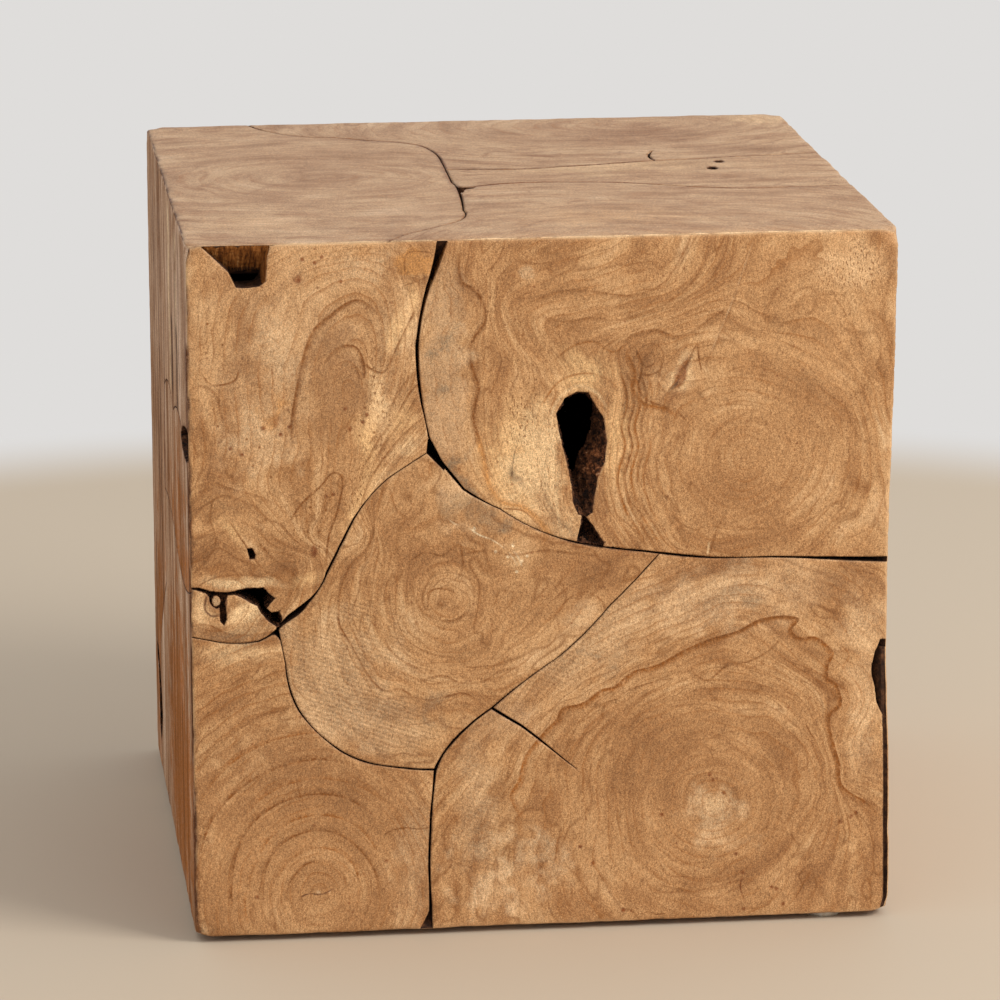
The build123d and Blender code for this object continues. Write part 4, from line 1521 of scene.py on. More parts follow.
@dataclass(frozen=True)
class Studio:
    """The floor, the light and the camera.

    The camera's place is in millimetres and its turns are in degrees. The key light's place and size and the
    floor's reaches are metres.
    """

    eye: tuple[float, float, float] = (-360.9, -3052.1, 946.5)
    yaw: float = 6.71
    pitch: float = 13.55
    roll: float = -0.16
    lens: float = 189.6
    floor_tint: str = "c6b7a3"
    far_tint: str = "dfdddb"
    floor_reach: float = 9.0
    fade: tuple[float, float] = (0.95, 1.15)
    key_tint: str = "fffaf3"
    key_from: tuple[float, float, float] = (2.3, -1.7, 2.3)
    key_size: float = 1.5
    key_power: float = 82.0
    sky_tint: str = "ffffff"
    sky: float = 0.76

    def build(self) -> None:
        """Make everything that isn't the object."""
        bpy.context.scene.view_settings.view_transform = "Standard"
        self._camera()
        self._floor()
        self._key()
        self._sky()

    def _camera(self) -> None:
        """Stand the camera where the photograph was taken."""
        yaw, pitch, roll = (math.radians(a) for a in (self.yaw, self.pitch, self.roll))
        forward = Vector((math.sin(yaw) * math.cos(pitch), math.cos(yaw) * math.cos(pitch), -math.sin(pitch)))
        right = Vector((math.cos(yaw), -math.sin(yaw), 0))
        up = right.cross(forward)
        tilted = right * math.cos(roll) + up * math.sin(roll)
        up = up * math.cos(roll) - right * math.sin(roll)
        lens = bpy.data.cameras.new("photo_camera")
        lens.lens = self.lens
        lens.clip_end = 50
        camera = bpy.data.objects.new("photo_camera", lens)
        rows = Matrix((tilted, up, -forward)).transposed().to_4x4()
        camera.matrix_world = Matrix.Translation(Vector(self.eye) * MM) @ rows
        bpy.context.scene.collection.objects.link(camera)
        bpy.context.scene.camera = camera

    def _floor(self) -> None:
        """Lay a plain pale floor that grows paler well behind the cube."""
        mesh = bpy.data.meshes.new("studio_floor")
        far = self.floor_reach
        mesh.from_pydata([(-far, -far, 0), (far, -far, 0), (far, far, 0), (-far, far, 0)], [], [(0, 1, 2, 3)])
        floor = bpy.data.objects.new("studio_floor", mesh)
        bpy.context.scene.collection.objects.link(floor)
        material, tree = start_material("pale matt studio floor")
        place = add_node(tree, "ShaderNodeTexCoord", out="Object")
        away = add_node(tree, "ShaderNodeVectorMath", {"operation": "LENGTH"}, {0: place}, out="Value")
        amount = add_node(tree, "ShaderNodeMapRange", {"interpolation_type": "SMOOTHSTEP"}, {
            0: away, 1: self.fade[0], 2: self.fade[1]})
        shader = add_node(tree, "ShaderNodeBsdfPrincipled", {}, {
            "Base Color": to_linear(self.floor_tint), "Roughness": 0.7, "Specular IOR Level": 0.2})
        glow = add_node(tree, "ShaderNodeEmission", {}, {"Color": to_linear(self.far_tint)})
        share = add_node(tree, "ShaderNodeMath", {"operation": "MULTIPLY"}, {0: amount, 1: self._seen(tree)})
        both = add_node(tree, "ShaderNodeMixShader", {}, {0: share, 1: shader, 2: glow})
        add_node(tree, "ShaderNodeOutputMaterial", {}, {0: both})
        mesh.materials.append(material)

    def _key(self) -> None:
        """Light the cube softly from the upper right."""
        lamp = bpy.data.lights.new("key_softbox", "AREA")
        lamp.size = self.key_size
        lamp.energy = self.key_power
        lamp.color = to_linear(self.key_tint)[:3]
        key = bpy.data.objects.new("key_softbox", lamp)
        key.location = self.key_from
        key.rotation_euler = (-Vector(self.key_from)).to_track_quat("-Z", "Y").to_euler()
        bpy.context.scene.collection.objects.link(key)

    def _sky(self) -> None:
        """Put up an even sky, which the camera sees in the colour of the far wall."""
        world = bpy.data.worlds.new("studio_sky")
        world.use_nodes = True
        tree = world.node_tree
        tree.nodes.clear()
        seen = self._seen(tree)
        strength = add_node(tree, "ShaderNodeMapRange", {}, {0: seen, 3: self.sky, 4: 1.0})
        colour = add_node(tree, "ShaderNodeMix", {"data_type": "RGBA"}, {
            0: seen, 6: to_linear(self.sky_tint), 7: to_linear(self.far_tint)}, out=2)
        back = add_node(tree, "ShaderNodeBackground", {}, {"Color": colour, "Strength": strength})
        add_node(tree, "ShaderNodeOutputWorld", {}, {0: back})
        bpy.context.scene.world = world

    @staticmethod
    def _seen(tree: Tree) -> Socket:
        """Find out whether the camera sees a place straight, mirrored or through something clear.

        Args:
            tree: The tree of a material or of the world.

        Returns:
            1 where it does, and 0 elsewhere.
        """
        path = add_node(tree, "ShaderNodeLightPath").node.outputs
        seen = path["Is Camera Ray"]
        for way in ("Is Glossy Ray", "Is Transmission Ray"):
            seen = add_node(tree, "ShaderNodeMath", {"operation": "MAXIMUM"}, {0: seen, 1: path[way]})
        return seen


def dress_leftovers() -> None:
    """Finish the nodes that stay as they are: the battens, each along its length, and the glides."""
    finishes = {"glides": MouldedGlide().build()}
    woods = [sawn_batten(axis).build() for axis in range(3)]
    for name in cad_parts:
        if name.endswith("_batten"):
            low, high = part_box(name)
            spans = [b - a for a, b in zip(low, high)]
            finishes[name] = woods[spans.index(max(spans))]
    for name, material in finishes.items():
        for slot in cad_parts[name].material_slots:
            slot.material = material
        LOG.info("%s: %s", name, material.name)


UPPER_LEFT = Figure(
    heart=(88, 250), seed=3, sway=0.8,
    rings=(
        Ring(0, ((88, 215), (90, 250), (91, 280), (90, 305), (89, 320))),
        Ring(12, ((70, 230), (74, 260), (76, 290), (78, 315), (84, 335), (91, 341), (97, 336), (100, 318),
            (97, 290), (93, 262))),
        Ring(24, ((60, 262), (62, 290), (63, 312), (68, 340), (78, 357), (90, 365), (98, 366), (105, 358),
            (108, 340), (105, 318), (101, 295), (95, 265))),
        Ring(42, ((40, 262), (45, 300), (47, 340), (58, 372), (75, 385), (95, 388), (112, 380), (120, 360),
            (119, 335), (114, 308), (105, 285), (97, 262))),
        Ring(60, ((134, 348), (126, 315), (113, 290), (102, 268), (96, 250))),
        Ring(76, ((139, 324), (122, 296), (106, 272), (97, 255))),
        Ring(62, ((20, 265), (22, 300), (25, 340), (32, 366), (60, 394), (95, 399))),
        Ring(84, ((0, 262), (0, 300), (2, 340), (5, 380))),
        Ring(60, ((8, 240), (20, 252), (34, 244), (50, 230), (68, 222))),
        Ring(78, ((0, 224), (14, 232), (24, 226), (40, 216), (60, 210))),
    ),
    patches=(
        Patch((55, 320), (75, 90), mark=Mark.CALM, strength=0.55, crisp=0.3),
        Patch((70, 392), (80, 30), mark=Mark.CALM, strength=0.8, crisp=0.4),
        Patch((60, 345), (95, 80), Tint.SAP_PALE, 0, 0.3),
        Patch((83, 322), (18, 42), mark=Mark.CALM, strength=0.75, crisp=0.5),
        Patch((83, 322), (21, 45), Tint.HEART_DARK, 0, 0.55, crisp=0.4),
        Patch((84, 300), (15, 55), Tint.HEART, 4, 0.55),
        Patch((119, 352), (13, 30), Tint.PALE, -12, 0.7, crisp=0.2),
        Patch((116, 350), (9, 22), Tint.GOLD, -10, 0.7),
        Patch((106, 312), (9, 24), Tint.CREAM, -4, 0.6, crisp=0.1),
        Patch((99, 286), (7, 28), Tint.GOLD, -8, 0.8),
        Patch((118, 300), (18, 12), Tint.GOLD, 55, 0.45),
        Patch((122, 283), (18, 7), Tint.CREAM, 36, 0.7),
        Patch((128, 386), (11, 10), Tint.ORANGE, 10, 0.85, crisp=0.6),
        Patch((126, 366), (6, 14), Tint.GOLD, 0, 0.6),
        Patch((30, 352), (9, 26), Tint.HEART_DARK, 4, 0.6),
        Patch((30, 332), (14, 9), Tint.HEART_DARK, 10, 0.45),
        Patch((38, 292), (34, 30), Tint.SAP_PALE, 10, 0.6),
        Patch((50, 338), (16, 34), Tint.SAP_PALE, 0, 0.5),
        Patch((100, 386), (24, 14), Tint.SAP_PALE, 0, 0.5),
        Patch((48, 303), (13, 10), Tint.ORANGE, 20, 0.7, crisp=0.3, ragged=0.9),
        Patch((50, 300), (9, 4), Tint.RED_BROWN, -30, 0.6, ragged=0.9),
        Patch((63, 380), (4, 4.4), Tint.RED_BROWN, 0, 0.6, crisp=0.3),
        Patch((69.5, 224.5), (2.6, 5), Tint.RED_BROWN, 0, 0.95, crisp=0.5),
        *dots(Tint.RED_BROWN, 1.9, (52, 292), (63, 379), (65, 391), (72, 389), (76, 392), (30, 281),
            (24, 285), (86, 378), (98, 298), (100, 302), (91, 294), (77, 256), (81, 257), (88, 306),
            (42, 296), (57, 296)),
        *dots(Tint.LINE, 1.2, (24, 279), (33, 290), (40, 285), (17, 298), (36, 275), (46, 268), (96, 290),
            (99, 306), (70, 243), (66, 236), (73, 236), (68, 250), (77, 248), (104, 292), (12, 356),
            (20, 344)),
        Patch((97, 255), (9, 32), Tint.GOLD, -20, 0.6),
        Patch((20, 252), (26, 16), Tint.HEART_LIGHT, 0, 0.4),
        Patch((24, 238), (5, 13), Tint.GOLD, 35, 0.6),
        Patch((8, 225), (9, 14), Tint.HEART_DARK, 0, 0.45),
        Patch((52, 225), (22, 12), Tint.HEART_DARK, -20, 0.4),
        Patch((28, 208), (30, 5), Tint.CREAM, -4, 0.85, crisp=0.4),
        Patch((66, 208), (16, 6), Tint.GOLD, 10, 0.6),
        Patch((110, 265), (14, 8), Tint.CREAM, 30, 0.4),
        Patch((96, 265), (9, 40), mark=Mark.POROUS, turn=-20, strength=1.0),
        Patch((105, 320), (14, 40), mark=Mark.POROUS, strength=0.8),
        Patch((70, 245), (20, 30), mark=Mark.POROUS, strength=0.6),
    ),
    streaks=(
        Streak(Tint.LINE, ((58, 282), (58, 300), (61, 318), (65, 335), (70, 350), (80, 359), (90, 366),
            (97, 367), (103, 363), (106, 357)), 1.2, 3.6, 0.85),
        Streak(Tint.LINE, ((76, 332), (82, 339), (90, 342), (96, 339), (99, 330), (99, 322)), 0.9, 2.4,
            0.75),
        Streak(Tint.LINE, ((80, 328), (88, 333), (94, 330), (97, 320)), 0.8, 1.6, 0.45),
        Streak(Tint.LINE, ((98, 333), (103, 328), (109, 326), (113, 331), (117, 340), (122, 350),
            (128, 362)), 0.8, 1.6, 0.7, 0.9),
        Streak(Tint.LINE, ((9, 327), (13, 322), (20, 321.5), (27, 324), (29, 330)), 0.8, 1.4, 0.7),
        Streak(Tint.LINE, ((96, 250), (101, 264), (110, 278), (120, 290), (132, 300)), 0.8, 2.0, 0.6),
        Streak(Tint.LINE, ((95, 262), (100, 276), (108, 290), (117, 302), (124, 314), (133, 322)), 0.8, 1.8,
            0.55),
        Streak(Tint.LINE, ((100, 284), (106, 292), (112, 303), (118, 315), (127, 326)), 1.0, 2.0, 0.4),
        Streak(Tint.LINE, ((104, 276), (113, 290), (121, 300), (128, 312)), 0.8, 1.6, 0.4),
        Streak(Tint.LINE, ((55, 240), (63, 252), (74, 262), (80, 269), (85, 268), (86, 261), (83, 247),
            (78, 232), (76, 213)), 1.1, 1.1, 0.85, 0.3),
        Streak(Tint.LINE, ((0, 318), (8, 321), (16, 316), (20, 300), (18, 285)), 1.2, 2.0, 0.4),
        Streak(Tint.LINE, ((0, 262), (12, 266), (24, 262), (40, 257), (50, 252)), 0.9, 2.4, 0.45),
        Streak(Tint.LINE, ((4, 250), (14, 256), (22, 258), (40, 250)), 0.9, 1.6, 0.4),
        Streak(Tint.LINE, ((14, 258), (12, 245), (15, 232), (10, 222), (2, 214)), 1.0, 1.4, 0.5),
        Streak(Tint.LINE, ((22, 244), (27, 236), (32, 228), (37, 220), (42, 214), (48, 209)), 1.4, 0.6,
            0.65),
        Streak(Tint.LINE, ((38, 232), (46, 222), (56, 214), (64, 206)), 1.0, 2.5, 0.45),
        Streak(Tint.LINE, ((66, 203), (74, 206), (80, 212), (84, 219)), 0.9, 2.0, 0.5),
        Streak(Tint.LINE, ((2, 205), (14, 211), (30, 212), (44, 210), (52, 205)), 1.0, 0.8, 0.45),
        Streak(Tint.LINE, ((122, 381), (122, 391), (127, 394), (137, 393)), 0.7, 1.0, 0.5),
        Streak(Tint.LINE, ((120, 374), (128, 377), (136, 380)), 0.7, 1.0, 0.4),
    ),
)

# The line to the right of the natural hole, which runs beside itself several times
HOLE_LINE = ((244, 324), (248, 314), (249, 303), (246, 291), (248, 279), (244, 262), (248, 244), (255, 232),
             (262, 220))

UPPER_RIGHT = Figure(
    heart=(313, 270), seed=5, sway=1.0,
    rings=(
        Ring(22, ((292, 270), (300, 287), (313, 292), (326, 287), (334, 272), (328, 256), (313, 248),
            (300, 254))),
        Ring(45, ((265, 270), (272, 300), (290, 312), (312, 316), (335, 308), (352, 290), (355, 265),
            (345, 240), (322, 226), (295, 224), (275, 238))),
        Ring(62, ((253, 285), (250, 265), (256, 245), (268, 226))),
        Ring(62, ((300, 342), (330, 333), (355, 315), (372, 290), (376, 262), (368, 235), (355, 215))),
        Ring(75, ((246, 335), (247, 312), (243, 290), (241, 262), (246, 238), (256, 222))),
        Ring(84, ((255, 345), (280, 352), (305, 360), (330, 350), (352, 362))),
        Ring(108, ((215, 345), (240, 350), (262, 356), (285, 366), (300, 380), (306, 398))),
        Ring(126, ((200, 355), (230, 362), (255, 367), (270, 370), (285, 385), (290, 398))),
        Ring(146, ((180, 362), (205, 372), (230, 377), (255, 388), (266, 398))),
        Ring(146, ((206, 312), (200, 290), (201, 262), (208, 240), (216, 232))),
        Ring(172, ((180, 330), (174, 300), (177, 270), (187, 250), (198, 240))),
        Ring(195, ((153, 398), (152, 378), (158, 372), (162, 366), (162, 355), (158, 345), (157, 335),
            (159, 300), (163, 280), (168, 262), (176, 250))),
        Ring(216, ((142, 390), (135, 360), (131, 330), (133, 300), (140, 280), (155, 258))),
        Ring(95, ((396, 300), (392, 340), (380, 375))),
    ),
    patches=(
        Patch((325, 270), (85, 75), mark=Mark.CALM, strength=0.7, crisp=0.2),
        Patch((240, 360), (80, 50), mark=Mark.CALM, strength=0.4, crisp=0.2),
        Patch((360, 350), (60, 60), mark=Mark.CALM, strength=0.5),
        Patch((143, 330), (18, 80), mark=Mark.CALM, strength=0.6),
        Patch((190, 285), (24, 50), mark=Mark.CALM, strength=0.6),
        Patch((143, 330), (16, 75), Tint.SAP, 0, 0.65, crisp=0.5),
        Patch((141, 336), (9, 9), Tint.GREY, 0, 0.95, ragged=0.9),
        Patch((143, 315), (9, 5), Tint.GREY, 0, 0.8),
        Patch((152, 268), (14, 14), Tint.GREY, -30, 0.9, ragged=0.9),
        Patch((150, 350), (10, 16), Tint.PALE, 0, 0.5),
        Patch((152, 330), (8, 8), Tint.PALE, 0, 0.6, ragged=0.9),
        Patch((190.5, 380), (6, 4.6), Tint.PALE, -8, 0.8, crisp=0.6, ragged=0.1),
        Patch((188, 378), (1.2, 1.2), Tint.GREY, 0, 0.8),
        Patch((186, 275), (22, 46), Tint.GOLD, -4, 0.85, crisp=0.2),
        Patch((176, 250), (26, 22), Tint.GOLD, -20, 0.5),
        Patch((194, 272), (20, 44), Tint.CREAM, -4, 0.8, crisp=0.3),
        Patch((204, 270), (9, 44), Tint.CREAM, 0, 0.8),
        Patch((222, 322), (26, 16), Tint.GOLD, -10, 0.75, crisp=0.1),
        Patch((240, 285), (11, 38), Tint.GOLD, -4, 0.7),
        Patch((214, 236), (14, 14), Tint.CREAM, 0, 0.5),
        Patch((250, 300), (26, 50), Tint.HEART_LIGHT, 0, 0.4),
        Patch((232, 250), (8, 22), Tint.HEART_DARK, 0, 0.55),
        Patch((213, 372), (34, 20), Tint.HEART, 6, 0.5),
        Patch((258, 330), (13, 12), Tint.HEART_DARK, 0, 0.5, ragged=0.6),
        Patch((272, 318), (20, 16), Tint.PALE, 35, 0.6, crisp=0.1, ragged=0.5),
        Patch((277, 318), (17, 6), Tint.CREAM, 58, 0.7, crisp=0.2, ragged=0.5),
        Patch((272, 306), (12, 8), Tint.RED_BROWN, 20, 0.4),
        Patch((350, 330), (60, 40), Tint.HEART_LIGHT, 0, 0.4),
        Patch((377, 382), (34, 18), Tint.HEART_PALE, 0, 0.4),
        Patch((378, 378), (36, 20), mark=Mark.POROUS, strength=1),
        Patch((330, 380), (34, 20), Tint.HEART, 0, 0.4),
        Patch((334, 380), (4.4, 3.6), Tint.HEART_DARK, 0, 0.6),
        Patch((384, 292), (4, 4.4), Tint.HEART_DARK, 0, 0.5),
        Patch((304, 303), (3, 1.6), Tint.LINE, 0, 0.7),
        Patch((199, 366), (4, 1.4), Tint.LINE, 10, 0.6),
        Patch((182, 265), (3, 8), Tint.DARK_GREY, 10, 0.7),
        Patch((187, 262), (5, 4), Tint.GREY, 0, 0.9, ragged=0.9),
        Patch((192, 300), (9, 5), Tint.CREAM, 0, 0.5),
        Patch((186, 300), (14, 30), mark=Mark.POROUS, strength=1),
        Patch((202, 265), (16, 50), mark=Mark.POROUS),
        Patch((277, 322), (17, 6.0), Tint.CREAM, 57, 0.7, crisp=0.4, ragged=0.3),
        Patch((277, 321), (14, 4.0), Tint.RED_BROWN, 57, 0.9, crisp=0.5, ragged=0.5),
        Patch((273, 314), (6, 1.6), Tint.BARK, 55, 0.9),
        Patch((281, 327), (6, 1.4), Tint.DARK_GREY, 60, 0.9),
    ),
    streaks=(
        Streak(Tint.LINE, ((154, 398), (152, 385), (154, 376), (161, 371), (166, 362), (166, 352),
            (160, 343), (158, 335), (160, 325), (163, 315), (160, 300), (163, 286), (167, 274), (169, 262)),
            1.6, 2.6, 0.7),
        Streak(Tint.ORANGE, ((162, 290), (165, 274), (168, 261), (173, 252), (180, 248), (186, 247),
            (193, 242), (199, 235), (206, 226)), 3.0, 2.4, 0.85, 0.3),
        Streak(Tint.LINE_ORANGE, ((176, 246), (188, 244), (196, 236)), 0.8, 0.8, 0.6),
        Streak(Tint.LINE_ORANGE, ((198, 304), (206, 316), (215, 321), (226, 322), (236, 318), (242, 312)),
            1.2, 1.0, 0.6),
        Streak(Tint.LINE_ORANGE, ((205, 330), (216, 338), (228, 340), (238, 334), (246, 338)), 1.2, 1.2,
            0.55),
        *(Streak(tint, tuple((u + shift, v) for u, v in HOLE_LINE), 1.0, 1.9, strength, 0.7)
          for tint, shift, strength in ((Tint.LINE_ORANGE, -2.5, 0.8), (Tint.LINE, 1.5, 0.75),
                                        (Tint.LINE_ORANGE, 5.0, 0.85), (Tint.LINE, 8.5, 0.5),
                                        (Tint.LINE_ORANGE, 12.0, 0.4))),
        Streak(Tint.LINE_ORANGE, ((246, 334), (251, 322), (250, 312), (256, 304), (262, 302), (270, 300),
            (276, 295)), 1.6, 2.6, 0.85),
        Streak(Tint.LINE, ((250, 338), (255, 326), (253, 314), (258, 306), (268, 302), (276, 298),
            (281, 292)), 0.9, 1.3, 0.6),
        Streak(Tint.LINE, ((262, 336), (266, 326), (264, 316), (270, 309)), 0.8, 1.4, 0.5),
        Streak(Tint.LINE, ((256, 330), (259, 333), (262, 331), (261, 326), (257, 325), (255, 328)), 0.8,
            0.8, 0.6),
        Streak(Tint.LINE, ((250, 328), (254, 336), (262, 338), (267, 332), (265, 323), (258, 320),
            (252, 322)), 0.8, 1.4, 0.55),
        Streak(Tint.LINE, ((244, 338), (250, 344), (262, 346), (274, 342), (284, 345), (294, 352),
            (304, 358)), 0.9, 2.4, 0.55),
        Streak(Tint.LINE, ((290, 325), (300, 345), (306, 362), (312, 380), (319, 397)), 1.2, 2.0, 0.4),
        Streak(Tint.PALE, ((293, 330), (299, 345), (306, 362), (312, 380), (318, 397)), 0.9, 0.9, 0.35,
            0.9),
        Streak(Tint.LINE, ((266, 305), (270, 311), (277, 321), (282, 330), (286, 337), (287, 329),
            (289, 320)), 0.9, 0.9, 0.8),
        Streak(Tint.LINE, ((200, 368), (216, 370), (232, 368), (246, 366), (258, 368), (268, 374),
            (276, 386), (280, 397)), 0.9, 2.4, 0.5),
        Streak(Tint.LINE, ((196, 356), (212, 352), (226, 354), (240, 352), (256, 356), (270, 362),
            (284, 374), (292, 390)), 0.9, 2.4, 0.45),
        Streak(Tint.LINE, ((363, 362), (368, 356), (371, 350)), 0.7, 0.7, 0.5),
        Streak(Tint.CREAM, ((292.5, 215), (293.5, 223)), 1.0, 1.0, 0.8),
        Streak(Tint.LINE, ((294, 215), (297, 228), (303, 240)), 0.8, 1.4, 0.4),
        Streak(Tint.LINE_ORANGE, ((216, 222), (222, 218), (230, 216), (240, 214)), 0.8, 1.4, 0.5),
        Streak(Tint.CREAM, ((209, 230), (207, 245), (206, 262), (205, 280), (203, 296), (208, 308),
            (218, 315), (229, 311), (236, 300)), 1.6, 1.6, 0.6, 0.3),
        Streak(Tint.DARK_GREY, ((181, 262), (182, 272), (184, 282)), 0.7, 0.7, 0.5),
    ),
)

CENTRE = Figure(
    heart=(143, 200), seed=7, sway=0.7,
    rings=(
        Ring(15, ((130, 185), (128, 200), (135, 212), (150, 214), (160, 205), (163, 190), (155, 178),
            (140, 176))),
        Ring(30, ((115, 215), (112, 195), (118, 175), (135, 162), (155, 160), (172, 170), (185, 190),
            (195, 200))),
        Ring(45, ((104, 235), (103, 215), (100, 195), (104, 175), (118, 158), (140, 150), (165, 147),
            (185, 153), (205, 165), (222, 190), (236, 205))),
        Ring(62, ((98, 247), (102, 235), (100, 225), (92, 218), (87, 210), (84, 200), (83, 183), (90, 170),
            (100, 152), (108, 142), (118, 143), (127, 137), (145, 137), (155, 139), (162, 134),
            (169, 130))),
        Ring(85, ((60, 175), (66, 150), (80, 130), (100, 112), (120, 104), (138, 104))),
        Ring(30, ((120, 240), (128, 252), (138, 258))),
    ),
    patches=(
        Patch((80, 150), (44, 52), Tint.PALE, 40, 0.55, crisp=0.4),
        Patch((95, 125), (50, 26), Tint.SAP, -30, 0.6),
        Patch((80, 160), (50, 60), mark=Mark.SAWN, strength=0.9, crisp=0.4),
        Patch((110, 125), (50, 26), mark=Mark.SAWN, turn=-30, strength=0.9, crisp=0.4),
        Patch((122, 254), (4, 5), Tint.LINE, 0, 0.65),
        Patch((120, 262), (12, 14), Tint.HEART, 0, 0.5),
        Patch((143, 194), (8, 7), Tint.HEART_DARK, 0, 0.5),
        Patch((141, 192), (3, 2.4), Tint.LINE, 0, 0.7),
        Patch((160, 248), (22, 12), Tint.GREY, -35, 0.6, ragged=0.9),
        Patch((150, 258), (10, 8), Tint.SAP, -30, 0.7, ragged=0.9),
        Patch((168, 240), (10, 7), Tint.GREY, -20, 0.6, ragged=1.0),
        Patch((152, 235), (13, 7), Tint.HEART_PALE, -30, 0.4, ragged=1.2),
        Patch((185, 216), (9, 6), Tint.CREAM, 20, 0.3, ragged=1.2),
        Patch((184, 213), (4, 2), Tint.CREAM, 30, 0.5),
        *dots(Tint.WHITE, 1.3, (182, 224), (187, 215), (190, 218), (179, 218), (172, 221), (184, 209),
            (160, 235)),
        Patch((135, 128), (12, 9), Tint.GREY, 0, 0.55, ragged=1.0),
        Patch((160, 118), (12, 9), Tint.SAP, -30, 0.5),
        Patch((220, 183), (14, 9), Tint.PALE, 40, 0.5, crisp=0.5, ragged=0.3),
        Patch((218, 180), (7, 5), Tint.CREAM, 40, 0.3, ragged=0.4),
        Patch((157, 185), (4.5, 3), Tint.HEART_DARK, 10, 0.6),
        Patch((127, 181), (2.4, 2), Tint.LINE, 0, 0.6),
        Patch((185, 178), (26, 22), Tint.HEART_LIGHT, 0, 0.4),
        Patch((225, 205), (26, 12), Tint.HEART, 10, 0.5),
        Patch((152, 160), (30, 12), Tint.HEART_LIGHT, 0, 0.4),
    ),
    streaks=(
        Streak(Tint.LINE, ((98, 250), (103, 243), (103, 233), (99, 225), (92, 218), (87, 210), (84, 200),
            (83, 190), (84, 181), (90, 170), (96, 158), (103, 147), (110, 142), (118, 143), (127, 137),
            (136, 136), (145, 138), (155, 139), (162, 134), (170, 129)), 1.0, 1.6, 0.55),
        Streak(Tint.WHITE, ((143, 243), (149, 238), (156, 236), (163, 231), (170, 228), (178, 222),
            (184, 214)), 0.8, 0.8, 0.75, 1.6),
        Streak(Tint.WHITE, ((176, 226), (184, 219), (187, 212)), 0.8, 0.8, 0.6, 1.8),
        Streak(Tint.LINE, ((112, 262), (116, 248), (124, 242), (131, 248), (132, 258)), 1.2, 1.6, 0.4),
        Streak(Tint.LINE, ((131, 197), (138, 200.5), (145, 200), (150, 197)), 0.9, 0.9, 0.7),
        Streak(Tint.LINE, ((124, 206), (128, 192), (136, 184), (148, 182), (158, 188)), 1.0, 1.6, 0.45),
        Streak(Tint.LINE, ((122, 216), (132, 222), (142, 220), (152, 226), (154, 214), (160, 206)), 1.0,
            1.4, 0.5),
        Streak(Tint.LINE, ((152, 225), (154, 215), (150, 206), (140, 205)), 1.0, 1.2, 0.4),
        Streak(Tint.LINE, ((130, 148), (142, 150), (153, 145), (165, 146), (175, 152), (185, 153)), 0.8,
            1.8, 0.5),
        Streak(Tint.LINE, ((108, 176), (114, 164), (126, 156), (140, 152)), 0.8, 2.0, 0.4),
        Streak(Tint.LINE, ((150, 220), (166, 222), (182, 219), (200, 221), (216, 219), (232, 217)), 0.9,
            1.8, 0.5),
        Streak(Tint.LINE, ((209, 172), (207, 182), (213, 192), (223, 196), (232, 191), (234, 183),
            (226, 174), (216, 170), (209, 172)), 0.8, 1.2, 0.5),
        Streak(Tint.LINE, ((180, 168), (190, 178), (202, 190), (218, 202), (240, 209)), 0.8, 2.2, 0.4),
    ),
)

WEDGE = Figure(
    heart=(14, 197), seed=11, stretch=(1.0, 1.0), sway=0.8,
    patches=(
        Patch((14.4, 197.5), (3, 3.4), Tint.PALE, 0, 0.9, crisp=0.6, ragged=0.1),
        Patch((32, 190), (16, 9), Tint.CREAM, 15, 0.9, crisp=0.3),
        Patch((5, 192), (9, 18), Tint.CREAM, 0, 0.6),
        Patch((12, 180), (14, 8), Tint.HEART_DARK, 0, 0.5),
        Patch((60, 188), (14, 10), Tint.GOLD, 30, 0.8),
        Patch((32, 180), (24, 5), Tint.CREAM, 5, 0.5),
        Patch((22, 176), (34, 4), Tint.GREY, 0, 0.4),
    ),
    streaks=(
        Streak(Tint.DEEP_BROWN, ((9, 204), (18, 203), (20, 197), (18, 191), (12, 189), (8, 194), (10, 203)),
            1.2, 1.2, 0.85, 0.3),
        Streak(Tint.LINE, ((0, 184), (10, 184), (22, 178), (40, 178), (52, 180)), 1.0, 1.4, 0.5),
    ),
)

